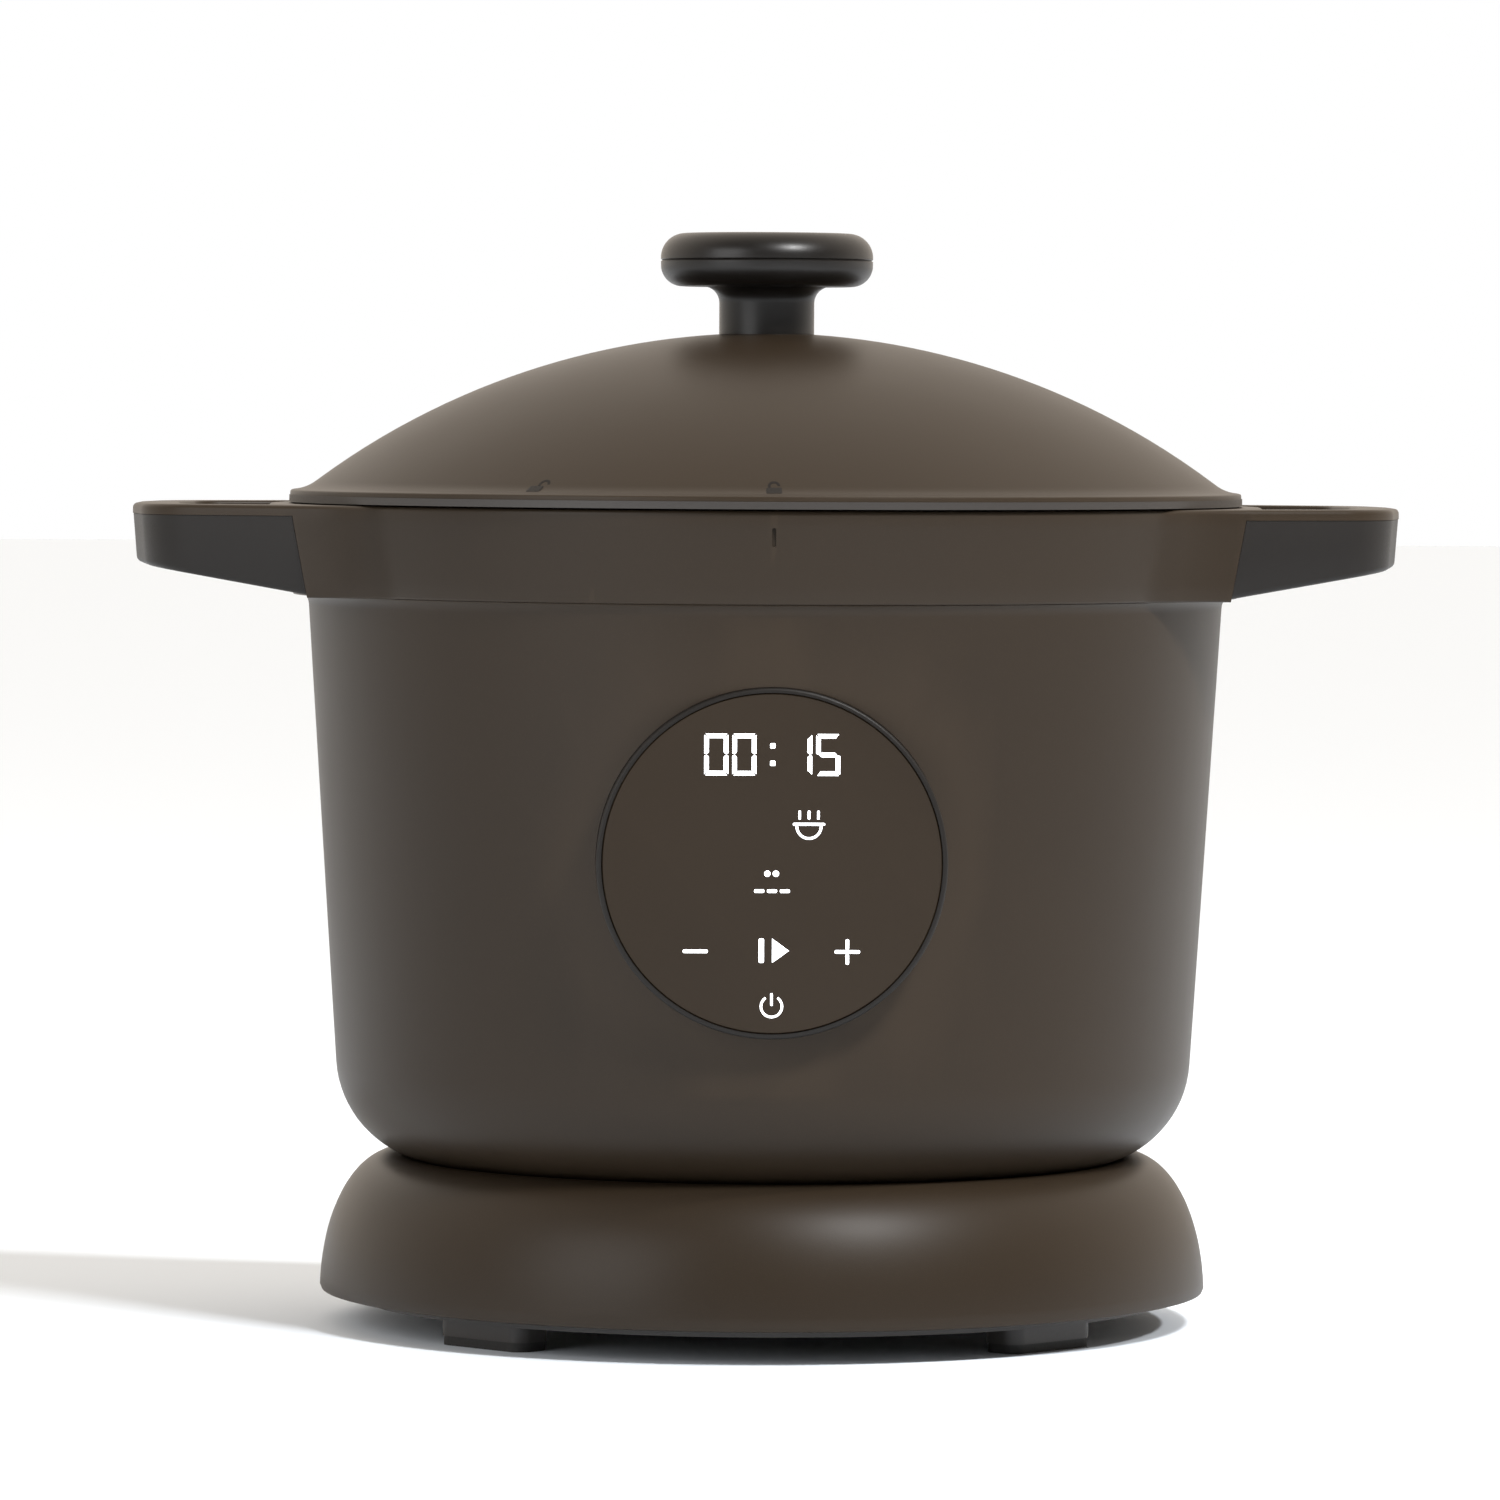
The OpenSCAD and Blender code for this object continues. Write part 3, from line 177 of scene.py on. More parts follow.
class Graph:
    """A material's node tree with short ways to add and join nodes."""

    def __init__(self, name):
        self.material = bpy.data.materials.new(name)
        self.material.use_nodes = True
        self.tree = self.material.node_tree
        self.shader = self.tree.nodes["Principled BSDF"]
        self.coords = self.add("ShaderNodeTexCoord").outputs["Object"]

    def add(self, kind, **settings):
        node = self.tree.nodes.new(kind)
        for key, value in settings.items():
            setattr(node, key, value)
        return node

    def link(self, source, target):
        self.tree.links.new(source, target)

    def noise(self, scale, detail=2.0, coords=None, roughness=0.5):
        node = self.add("ShaderNodeTexNoise")
        node.inputs["Scale"].default_value = scale
        node.inputs["Detail"].default_value = detail
        node.inputs["Roughness"].default_value = roughness
        self.link(coords or self.coords, node.inputs["Vector"])
        return node.outputs["Fac"]

    def stretch(self, scale):
        node = self.add("ShaderNodeMapping")
        node.inputs["Scale"].default_value = scale
        self.link(self.coords, node.inputs["Vector"])
        return node.outputs["Vector"]

    def spread(self, value, low, high, start=0.3, end=0.7):
        node = self.add("ShaderNodeMapRange")
        node.inputs["From Min"].default_value = start
        node.inputs["From Max"].default_value = end
        node.inputs["To Min"].default_value = low
        node.inputs["To Max"].default_value = high
        self.link(value, node.inputs["Value"])
        return node.outputs["Result"]

    def mix(self, factor, a, b):
        node = self.add("ShaderNodeMix", data_type="RGBA")
        self.link(factor, node.inputs["Factor"])
        for value, slot in ((a, 6), (b, 7)):
            if hasattr(value, "links"):
                self.link(value, node.inputs[slot])
            else:
                node.inputs[slot].default_value = (*value, 1)
        return node.outputs[2]

    def radius(self):
        """Distance from the cooker's axis, in metres."""
        flat = self.add("ShaderNodeVectorMath", operation="MULTIPLY")
        flat.inputs[1].default_value = (1, 1, 0)
        self.link(self.coords, flat.inputs[0])
        length = self.add("ShaderNodeVectorMath", operation="LENGTH")
        self.link(flat.outputs["Vector"], length.inputs[0])
        return length.outputs["Value"]

    def rings(self, scale):
        """Noise that only changes with the distance from the axis, as turned metal does."""
        radius = self.radius()
        joined = self.add("ShaderNodeCombineXYZ")
        self.link(radius, joined.inputs["X"])
        return self.noise(scale, 3, joined.outputs["Vector"])

    def bump(self, height, strength, distance, under=None):
        node = self.add("ShaderNodeBump")
        node.inputs["Strength"].default_value = strength
        node.inputs["Distance"].default_value = distance
        self.link(height, node.inputs["Height"])
        if under is not None:
            self.link(under, node.inputs["Normal"])
        return node.outputs["Normal"]

    def edges(self):
        """0 on flats, rising to 1 on outside edges."""
        return self.spread(self.add("ShaderNodeNewGeometry").outputs["Pointiness"], 0, 1, 0.505, 0.56)

    def set(self, **values):
        for key, value in values.items():
            socket = self.shader.inputs[key.replace("_", " ")]
            socket.default_value = (*value, 1) if key.endswith("Color") else value


def shade(colour, factor):
    return tuple(min(1, c * factor) for c in colour)


def coated(name, colour, roughness, grain=2600, sparkle=0.35, edge_highlight=0.35):
    """Satin coating with fine metallic grains, which glint where a light reflects."""
    g = Graph(name)
    cloud = g.noise(9, 3)
    tint = g.mix(g.spread(cloud, 0, 1), shade(colour, 0.93), shade(colour, 1.07))
    flakes = g.noise(grain, 1.5, roughness=0.7)
    tint = g.mix(g.spread(flakes, 0, 0.16, 0.56, 0.75), tint, shade(colour, 2.6))
    # painted highlight: outside edges, found by pointiness, are lightened towards 1.8 times the colour to
    # stand in for light caught on the rims
    painted_edge_highlight = g.add("ShaderNodeMath", operation="MULTIPLY")
    g.link(g.edges(), painted_edge_highlight.inputs[0])
    painted_edge_highlight.inputs[1].default_value = edge_highlight
    tint = g.mix(painted_edge_highlight.outputs["Value"], tint, shade(colour, 1.8))
    g.link(tint, g.shader.inputs["Base Color"])
    g.link(g.spread(cloud, roughness - 0.03, roughness + 0.03), g.shader.inputs["Roughness"])
    skin = g.bump(g.noise(420, 2), 0.25, 0.00003)
    g.link(g.bump(flakes, sparkle, 0.00005, skin), g.shader.inputs["Normal"])
    g.set(Specular_IOR_Level=0.2)
    return g.material


def moulded(name, colour, roughness, grain=1800, depth=0.00003, strength=0.4, **values):
    """Moulded plastic or rubber with a fine grain."""
    g = Graph(name)
    cloud = g.noise(14, 3)
    tint = g.mix(g.spread(cloud, 0, 1), shade(colour, 0.94), shade(colour, 1.06))
    # painted highlight: outside edges, found by pointiness, are lightened towards 1.6 times the colour to
    # stand in for light caught on the rims
    painted_edge_highlight = g.add("ShaderNodeMath", operation="MULTIPLY")
    g.link(g.edges(), painted_edge_highlight.inputs[0])
    painted_edge_highlight.inputs[1].default_value = 0.3
    tint = g.mix(painted_edge_highlight.outputs["Value"], tint, shade(colour, 1.6))
    g.link(tint, g.shader.inputs["Base Color"])
    fine = g.noise(grain, 2)
    g.link(g.spread(fine, roughness - 0.04, roughness + 0.04), g.shader.inputs["Roughness"])
    g.link(g.bump(fine, strength, depth), g.shader.inputs["Normal"])
    g.set(**values)
    return g.material


def turned_metal(name, colour, roughness, scale=2200, depth=0.00002, strength=0.35):
    """Sheet or cast metal with concentric brushing."""
    g = Graph(name)
    lines = g.rings(scale)
    cloud = g.noise(18, 3)
    tint = g.mix(g.spread(cloud, 0, 1), shade(colour, 0.9), shade(colour, 1.05))
    g.link(tint, g.shader.inputs["Base Color"])
    g.link(g.spread(lines, roughness - 0.07, roughness + 0.09), g.shader.inputs["Roughness"])
    g.link(g.bump(lines, strength, depth), g.shader.inputs["Normal"])
    g.set(Metallic=1.0)
    return g.material


def plated(name, colour, roughness, grain=900):
    """Plated or machined small metal pieces."""
    g = Graph(name)
    fine = g.noise(grain, 3)
    tint = g.mix(g.spread(fine, 0, 1), shade(colour, 0.88), shade(colour, 1.08))
    g.link(tint, g.shader.inputs["Base Color"])
    g.link(g.spread(g.noise(140, 2), roughness - 0.06, roughness + 0.08), g.shader.inputs["Roughness"])
    g.link(g.bump(fine, 0.25, 0.00003), g.shader.inputs["Normal"])
    g.set(Metallic=1.0)
    return g.material


def pot_finish(name, inside_radius):
    """Dark non-stick coating inside and brushed aluminium outside."""
    g = Graph(name)
    inside = g.spread(g.radius(), 0, 1, inside_radius + 0.0008, inside_radius + 0.0009)
    under = g.add("ShaderNodeSeparateXYZ")
    g.link(g.coords, under.inputs["Vector"])
    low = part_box("inner_pot")[0].z
    outside = g.add("ShaderNodeMath", operation="MAXIMUM")
    g.link(inside, outside.inputs[0])
    g.link(g.spread(under.outputs["Z"], 1, 0, low + 0.0014, low + 0.0015), outside.inputs[1])
    outside = outside.outputs["Value"]
    flakes = g.noise(2200, 2)
    coating = g.mix(g.spread(flakes, 0, 1, 0.55, 0.7), (0.03, 0.03, 0.031), (0.075, 0.074, 0.072))
    metal = g.mix(g.spread(g.noise(16, 3), 0, 1), (0.5, 0.5, 0.5), (0.62, 0.62, 0.61))
    g.link(g.mix(outside, coating, metal), g.shader.inputs["Base Color"])
    g.link(outside, g.shader.inputs["Metallic"])
    lines = g.noise(900, 3, g.stretch((0.02, 0.02, 1)))
    g.link(g.spread(lines, 0.3, 0.42), g.shader.inputs["Roughness"])
    g.link(g.bump(lines, 0.3, 0.00002), g.shader.inputs["Normal"])
    return g.material


def circuit_board(name):
    """Green board with copper tracks under the lacquer."""
    g = Graph(name)
    bricks = g.add("ShaderNodeTexBrick")
    bricks.inputs["Scale"].default_value = 160
    bricks.inputs["Mortar Size"].default_value = 0.03
    bricks.inputs["Color1"].default_value = (0.01, 0.09, 0.03, 1)
    bricks.inputs["Color2"].default_value = (0.012, 0.11, 0.035, 1)
    bricks.inputs["Mortar"].default_value = (0.03, 0.2, 0.07, 1)
    g.link(g.coords, bricks.inputs["Vector"])
    g.link(bricks.outputs["Color"], g.shader.inputs["Base Color"])
    g.link(g.spread(g.noise(600, 2), 0.22, 0.34), g.shader.inputs["Roughness"])
    g.link(g.bump(bricks.outputs["Fac"], 0.3, 0.00005), g.shader.inputs["Normal"])
    return g.material


def lit(name, strength=7.0):
    """White light from the display, a little uneven, as through a diffuser."""
    g = Graph(name)
    g.set(Base_Color=(0.8, 0.8, 0.8), Roughness=0.4, Emission_Strength=strength)
    glow = g.mix(g.spread(g.noise(500, 1), 0, 1), (0.93, 0.95, 1.0), (1.0, 1.0, 1.0))
    g.link(glow, g.shader.inputs["Emission Color"])
    return g.material


CHARCOAL = (0.0205, 0.0138, 0.0082)
INK = (0.006, 0.005, 0.0043)
FINISH = {
    "coated_shell": coated("coated_shell", CHARCOAL, 0.42),
    "base_plastic": moulded("base_plastic", (0.02, 0.0165, 0.014), 0.5),
    "dark_plastic": moulded("dark_plastic", (0.009, 0.0075, 0.0064), 0.46, Specular_IOR_Level=0.22),
    "knob_plastic": moulded("knob_plastic", INK, 0.36, grain=2400, Specular_IOR_Level=0.35),
    "black_plastic": moulded("black_plastic", (0.012, 0.012, 0.012), 0.4),
    "rubber_pad": moulded("rubber_pad", (0.015, 0.014, 0.013), 0.75, grain=1200, depth=0.00006),
    "screw_steel": plated("screw_steel", (0.56, 0.56, 0.55), 0.34),
    "steel_sheet": turned_metal("steel_sheet", (0.62, 0.62, 0.61), 0.3),
    "cast_aluminium": turned_metal("cast_aluminium", (0.58, 0.58, 0.59), 0.42, scale=900, depth=0.00005),
    "element_sheath": plated("element_sheath", (0.3, 0.27, 0.25), 0.5),
    "brass_contact": plated("brass_contact", (0.72, 0.56, 0.3), 0.3),
    "circuit_board": circuit_board("circuit_board"),
    "component_blue": moulded("component_blue", (0.03, 0.1, 0.3), 0.35),
    "transformer_core": moulded("transformer_core", (0.09, 0.085, 0.08), 0.5, grain=500),
    "wire_red": moulded("wire_red", (0.32, 0.03, 0.02), 0.5),
    "cable_grey": moulded("cable_grey", (0.6, 0.58, 0.54), 0.5),
    "switch_cream": moulded("switch_cream", (0.7, 0.66, 0.58), 0.5),
    # the lens's outside edges get a weaker painted highlight than the shell's
    "smoked_lens": coated("smoked_lens", shade(CHARCOAL, 0.95), 0.36, sparkle=0.12, edge_highlight=0.2),
    "light_guide": moulded("light_guide", (0.75, 0.74, 0.72), 0.45),
    "pot_interior": pot_finish("pot_interior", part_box("inner_pot")[1].x - 8 * MM),
    "silicone": moulded("silicone", (0.62, 0.58, 0.52), 0.42, grain=900, Subsurface_Weight=0.25,
                        Subsurface_Radius=(0.6, 0.5, 0.4), Subsurface_Scale=0.003),
    "magnet": plated("magnet", (0.62, 0.62, 0.62), 0.22),
    "float_red": moulded("float_red", (0.5, 0.045, 0.025), 0.4),
}

# ---------------------------------------------------------------- rebuilt shapes

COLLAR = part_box("collar")
TOP_Z = COLLAR[1].z / MM
FOOT_Z = COLLAR[0].z / MM
REACH = COLLAR[1].x / MM
# the collar is a slanted band round the housing, with a rounded upper edge
COLLAR_TOP_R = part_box("lid_shell")[1].x / MM - 1
COLLAR_FOOT_R = COLLAR_TOP_R - 3.1
PLATE_T = 3.2
SEAM_TOP_X = COLLAR_TOP_R - 2
SEAM_FOOT_X = COLLAR_TOP_R - 6.6
HANDLE_CORNER = 24
HANDLE_POINTS = [(0, 80), (COLLAR_TOP_R * 0.8, 80), (REACH - 6, 52), (REACH, 15.6)]
GRIP_SLOPE = math.tan(math.radians(9.5))
LOFT_STEPS = 720


def inset_edges(points, distance):
    """Edges of a convex outline moved inwards, as normals and distances.

    The outline is the same in all four quarters, and the points give the first one.
    """
    corners = sorted({(across * x, along * y) for x, y in points for across in (-1, 1) for along in (-1, 1)},
                     key=lambda p: math.atan2(p[1], p[0]))
    lines = []
    for (ax, ay), (bx, by) in zip(corners, corners[1:] + corners[:1]):
        length = math.hypot(bx - ax, by - ay)
        nx, ny = (by - ay) / length, (ax - bx) / length
        lines.append((nx, ny, nx * ax + ny * ay - distance))
    return lines


def handle_support():
    """Normals and distances of the rounded outline through both handles, every half degree."""
    lines = inset_edges(HANDLE_POINTS, HANDLE_CORNER)
    corners = []
    for i in range(len(lines)):
        (ax, ay, ad), (bx, by, bd) = lines[i], lines[(i + 1) % len(lines)]
        cross = ax * by - ay * bx
        if abs(cross) > 1e-6:
            corners.append(((ad * by - bd * ay) / cross, (ax * bd - bx * ad) / cross))
    corners = np.array(corners)
    normals = np.arange(LOFT_STEPS) * TAU / LOFT_STEPS
    reach = corners[:, 0:1] * np.cos(normals) + corners[:, 1:2] * np.sin(normals)
    return normals, reach.max(axis=0) + HANDLE_CORNER


NORMALS, SUPPORT = handle_support()
ANGLES = np.arange(LOFT_STEPS) * TAU / LOFT_STEPS


def handle_radius(inset):
    """Distance from the centre to the handles' outline, in each direction."""
    cosines = np.cos(ANGLES[:, None] - NORMALS[None, :])
    distances = np.where(cosines > 0.02, (SUPPORT - inset)[None, :] / np.maximum(cosines, 0.02), 1e9)
    return distances.min(axis=1)


def blended(a, b, width):
    """The larger of two outlines, with a smooth change from one to the other."""
    share = np.clip(0.5 + 0.5 * (a - b) / width, 0, 1)
    return b + (a - b) * share + width * share * (1 - share)


def face_outwards(mesh):
    bm = bmesh.new()
    bm.from_mesh(mesh)
    bmesh.ops.recalc_face_normals(bm, faces=bm.faces)
    bm.to_mesh(mesh)
    bm.free()


def disc(x, y, r, steps=24):
    return [(x + r * math.cos(TAU * i / steps), y + r * math.sin(TAU * i / steps)) for i in range(steps)]


def solid_from_levels(name, levels):
    """A closed solid from levels that each list the same number of points."""
    count = len(levels[0])
    verts = [Vector(p) * MM for level in levels for p in level]
    faces = []
    for k in range(len(levels) - 1):
        low, high = k * count, (k + 1) * count
        for i in range(count):
            j = (i + 1) % count
            faces.append((low + i, low + j, high + j, high + i))
    for k, turn in ((0, -1), (len(levels) - 1, 1)):
        centre = sum((Vector(p) for p in levels[k]), Vector()) / count * MM
        verts.append(centre)
        for i in range(count):
            edge = (k * count + i, k * count + (i + 1) % count)
            faces.append((*edge[::turn], len(verts) - 1))
    mesh = bpy.data.meshes.new(name)
    mesh.from_pydata(verts, [], faces)
    mesh.update()
    obj = bpy.data.objects.new(name, mesh)
    bpy.context.collection.objects.link(obj)
    return obj


def polar_level(radii, heights):
    return [(r * math.cos(a), r * math.sin(a), z) for r, a, z in zip(radii, ANGLES, heights)]


def revolve(name, profile, steps=360):
    """A solid of revolution from a closed profile of (radius, height) that starts and ends on the axis."""
    mesh = bpy.data.meshes.new(name)
    verts, rings = [], []
    for r, z in profile:
        if r == 0:
            rings.append([len(verts)])
            verts.append((0, 0, z * MM))
        else:
            rings.append(list(range(len(verts), len(verts) + steps)))
            verts.extend((r * MM * math.cos(TAU * i / steps), r * MM * math.sin(TAU * i / steps), z * MM)
                         for i in range(steps))
    faces = []
    for a, b in zip(rings, rings[1:]):
        for i in range(steps):
            j = (i + 1) % steps
            if len(a) == 1:
                faces.append((a[0], b[j], b[i]))
            elif len(b) == 1:
                faces.append((a[i], a[j], b[0]))
            else:
                faces.append((a[i], a[j], b[j], b[i]))
    mesh.from_pydata(verts, [], faces)
    obj = bpy.data.objects.new(name, mesh)
    bpy.context.collection.objects.link(obj)
    face_outwards(mesh)
    return obj


def prism(name, points, axis, low, high):
    """A prism whose outline is drawn across the given axis: "Y" takes (x, z), "Z" takes (x, y)."""
    place = {"Y": lambda p, h: (p[0], h, p[1]), "Z": lambda p, h: (p[0], p[1], h)}[axis]
    obj = solid_from_levels(name, [[place(p, low) for p in points], [place(p, high) for p in points]])
    face_outwards(obj.data)
    return obj


def cut(obj, other, operation="DIFFERENCE"):
    """Cuts one mesh with another, which is used up."""
    modifier = obj.modifiers.new("cut", "BOOLEAN")
    modifier.operation = operation
    modifier.solver = "EXACT"
    modifier.object = other
    mesh = bpy.data.meshes.new_from_object(obj.evaluated_get(bpy.context.evaluated_depsgraph_get()))
    obj.modifiers.clear()
    old = obj.data
    obj.data = mesh
    bpy.data.meshes.remove(old)
    bpy.data.objects.remove(other)


def loops_at(obj, z):
    """Outlines of a CAD node's level faces at a height, each as a list of points in mm."""
    bm = bmesh.new()
    bm.from_mesh(obj.data)
    bmesh.ops.remove_doubles(bm, verts=bm.verts, dist=0.000002)
    flat = {f for f in bm.faces if abs(f.normal.z) > 0.999 and abs(f.calc_center_median().z / MM - z) < 0.01}
    edges = [e for e in bm.edges if sum(f in flat for f in e.link_faces) == 1]
    around = {}
    for e in edges:
        a, b = e.verts
        around.setdefault(a.index, []).append(b.index)
        around.setdefault(b.index, []).append(a.index)
    bm.verts.ensure_lookup_table()
    loops, left = [], set(around)
    while left:
        start = left.pop()
        loop, last, here = [start], None, start
        while True:
            ahead = [n for n in around[here] if n != last and n in left]
            if not ahead:
                break
            last, here = here, ahead[0]
            left.discard(here)
            loop.append(here)
        loops.append([(bm.verts[i].co.x / MM, bm.verts[i].co.y / MM) for i in loop])
    bm.free()
    return loops


def grown(points, distance):
    """An outline moved outwards."""
    area = sum(a[0] * b[1] - b[0] * a[1] for a, b in zip(points, points[1:] + points[:1]))
    turn = 1 if area > 0 else -1
    out = []
    for i, (x, y) in enumerate(points):
        (ax, ay), (bx, by) = points[i - 1], points[(i + 1) % len(points)]
        tx, ty = bx - ax, by - ay
        length = math.hypot(tx, ty) or 1
        out.append((x + turn * distance * ty / length, y - turn * distance * tx / length))
    return out


# how far a rounded edge is set back at each depth below the face, as (depth, set-back) shares of its radius
ROUND = [(0, 1), (0.08, 0.62), (0.3, 0.29), (0.62, 0.08), (1, 0)]


def hole_cutter(side):
    """Finger opening of a handle, as a cutter whose upper edge is rounded."""
    loops = [l for l in loops_at(frame["nodes"]["collar"], TOP_Z)
             if abs(sum(p[0] for p in l) / len(l) - side * 165) < 12 and max(abs(p[1]) for p in l) < 70]
    outline = max(loops, key=len)
    edge = 1.0
    rounded = [(TOP_Z - d * edge, edge * back) for d, back in reversed(ROUND)]
    heights = [(FOOT_Z - 20, 0)] + rounded + [(TOP_Z + 5, edge)]
    levels = [[(x, y, z) for x, y in grown(outline, grow)] for z, grow in heights]
    obj = solid_from_levels(f"hole_{side}", levels)
    face_outwards(obj.data)
    return obj


def beyond_seam(side, gap, top):
    """Everything outside the slanted seam between collar and grip, below a height."""
    slope = (SEAM_TOP_X - SEAM_FOOT_X) / (TOP_Z - PLATE_T - FOOT_Z)
    seam = lambda z: SEAM_FOOT_X + gap + slope * (z - FOOT_Z)
    points = [(side * seam(FOOT_Z - 20), FOOT_Z - 20), (side * (REACH + 20), FOOT_Z - 20),
              (side * (REACH + 20), top), (side * seam(top), top)]
    block = prism("beyond_seam", points, "Y", -120, 120)
    band_r = COLLAR_TOP_R + gap
    band = revolve("band", [(0, FOOT_Z - 40), (band_r, FOOT_Z - 40), (band_r, TOP_Z + 10), (0, TOP_Z + 10)])
    cut(block, band)
    return block


def make_collar():
    edge, foot_edge = 1.5, 0.8
    levels = []
    heights = ([(FOOT_Z + d * foot_edge, foot_edge * back) for d, back in ROUND]
               + [(FOOT_Z + share * (TOP_Z - FOOT_Z), 0) for share in (0.2, 0.4, 0.6, 0.8)]
               + [(TOP_Z - d * edge, edge * back) for d, back in reversed(ROUND)])
    for z, back in heights:
        share = (z - FOOT_Z) / (TOP_Z - FOOT_Z)
        circle = COLLAR_FOOT_R + (COLLAR_TOP_R - COLLAR_FOOT_R) * share - back
        radii = blended(handle_radius(back), np.full(LOFT_STEPS, circle), 14)
        levels.append(polar_level(radii, [z] * LOFT_STEPS))
    collar = solid_from_levels("collar_with_handles", levels)
    ring_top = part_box("locking_ring")[1].z / MM + 0.15
    ring_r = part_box("locking_ring")[1].x / MM + 0.6
    throat_r = ring_r - 7.6
    spigot_r = COLLAR_FOOT_R - 3.75
    lip = 0.8
    spigot_z = FOOT_Z + 7.5
    cutter = revolve("throat", [(0, FOOT_Z - 5), (spigot_r, FOOT_Z - 5), (spigot_r, spigot_z),
                                (ring_r, spigot_z), (ring_r, ring_top), (throat_r, ring_top)]
                     + [(throat_r + lip * back, TOP_Z - d * lip) for d, back in reversed(ROUND)]
                     + [(throat_r + lip, TOP_Z + 5), (0, TOP_Z + 5)])
    cut(collar, cutter)
    for side in (-1, 1):
        cut(collar, hole_cutter(side))
        cut(collar, beyond_seam(side, 0, TOP_Z - PLATE_T))
    # mark that the lid's symbols line up with
    mark_low, mark_high, half, depth = TOP_Z - 10.6, TOP_Z - 5, 0.6, 0.7
    outline = [(half * math.cos(a), middle + half * math.sin(a))
               for middle, start in ((mark_low + half, math.pi), (mark_high - half, 0))
               for a in np.linspace(start, start + math.pi, 9)]
    front = COLLAR_FOOT_R + 2.2
    cut(collar, prism("mark", outline, "Y", -front - 3, -front + depth))
    return collar


def make_grip(side):
    edge, gap, taper = 1.6, 0.15, 1.0
    screw_r, pocket_r = 2.8, 2.95
    top = TOP_Z - PLATE_T - 0.12
    foot_at = lambda x: FOOT_Z + 0.8 + (side * x - SEAM_FOOT_X) * GRIP_SLOPE
    levels = []
    steps = [(d * edge, edge * back) for d, back in ROUND] + [(None, 0.5), (None, 1)]
    for rise, back in steps:
        inset = 0.2 + (back + taper if rise is not None else taper * (1 - back))
        circle = np.full(LOFT_STEPS, COLLAR_FOOT_R)
        radii = blended(handle_radius(inset), circle, 14)
        level = []
        for r, a in zip(radii, ANGLES):
            x, y = r * math.cos(a), r * math.sin(a)
            foot = foot_at(x)
            z = foot + rise if rise is not None else foot + edge + (top - foot - edge) * back
            level.append((x, y, z))
        levels.append(level)
    grip = solid_from_levels("grip_right" if side > 0 else "grip_left", levels)
    cut(grip, beyond_seam(side, gap, TOP_Z), "INTERSECT")
    cut(grip, hole_cutter(side))
    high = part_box("handle_screws")[1]
    x, y = high.x / MM - screw_r, high.y / MM - screw_r
    for across in (-1, 1):
        outline = disc(side * x, across * y, pocket_r, 32)
        cut(grip, prism("screw_pocket", outline, "Z", FOOT_Z - 20, FOOT_Z + 15.7))
    return grip


# ---------------------------------------------------------------- carried-over CAD nodes


def smooth_by_angle():
    """A modifier's node group that shades edges smooth below a chosen angle."""
    group = bpy.data.node_groups.new("smooth_by_angle", "GeometryNodeTree")
    group.interface.new_socket("Geometry", in_out="INPUT", socket_type="NodeSocketGeometry")
    group.interface.new_socket("Geometry", in_out="OUTPUT", socket_type="NodeSocketGeometry")
    start = group.nodes.new("NodeGroupInput")
    end = group.nodes.new("NodeGroupOutput")
    angle = group.nodes.new("GeometryNodeInputMeshEdgeAngle")
    below = group.nodes.new("FunctionNodeCompare")
    below.data_type = "FLOAT"
    below.operation = "LESS_EQUAL"
    below.inputs[1].default_value = math.radians(28)
    faces = group.nodes.new("GeometryNodeSetShadeSmooth")
    faces.domain = "FACE"
    edges = group.nodes.new("GeometryNodeSetShadeSmooth")
    edges.domain = "EDGE"
    group.links.new(start.outputs[0], faces.inputs["Geometry"])
    group.links.new(faces.outputs["Geometry"], edges.inputs["Geometry"])
    group.links.new(angle.outputs["Unsigned Angle"], below.inputs[0])
    group.links.new(below.outputs["Result"], edges.inputs["Shade Smooth"])
    group.links.new(edges.outputs["Geometry"], end.inputs[0])
    return group


SMOOTHING = smooth_by_angle()


def smooth(obj):
    modifier = obj.modifiers.new("smooth", "NODES")
    modifier.node_group = SMOOTHING


def soften(obj):
    """Joins a CAD node's split vertices and shades all but its sharp edges smooth."""
    mesh = obj.data
    for name in ("custom_normal", "sharp_edge", "sharp_face"):
        if name in mesh.attributes:
            mesh.attributes.remove(mesh.attributes[name])
    weld = obj.modifiers.new("weld", "WELD")
    weld.merge_threshold = 0.000002
    smooth(obj)


slot_of = {row["node"]: row["material_slot"] for row in frame["record"]["subparts"]}
REBUILT = {"collar", "handle_grip_left", "handle_grip_right"}
for name, obj in frame["nodes"].items():
    if name in REBUILT:
        continue
    obj.data.materials.clear()
    obj.data.materials.append(FINISH[slot_of[name]])
    soften(obj)


def rebuilt(obj, node, finish):
    obj.data.materials.clear()
    obj.data.materials.append(finish)
    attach(obj, "housing")
    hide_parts(node)
    smooth(obj)


rebuilt(make_collar(), "collar", FINISH["coated_shell"])
rebuilt(make_grip(-1), "handle_grip_left", FINISH["dark_plastic"])
rebuilt(make_grip(1), "handle_grip_right", FINISH["dark_plastic"])

# ---------------------------------------------------------------- display symbols

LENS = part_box("display_lens")
PANEL_X = (LENS[0].x + LENS[1].x) / 2 / MM
PANEL_Z = (LENS[0].z + LENS[1].z) / 2 / MM
LENS_FACE = LENS[0].y / MM
SYMBOL_T = 0.05
SEGMENT_W = 1.3


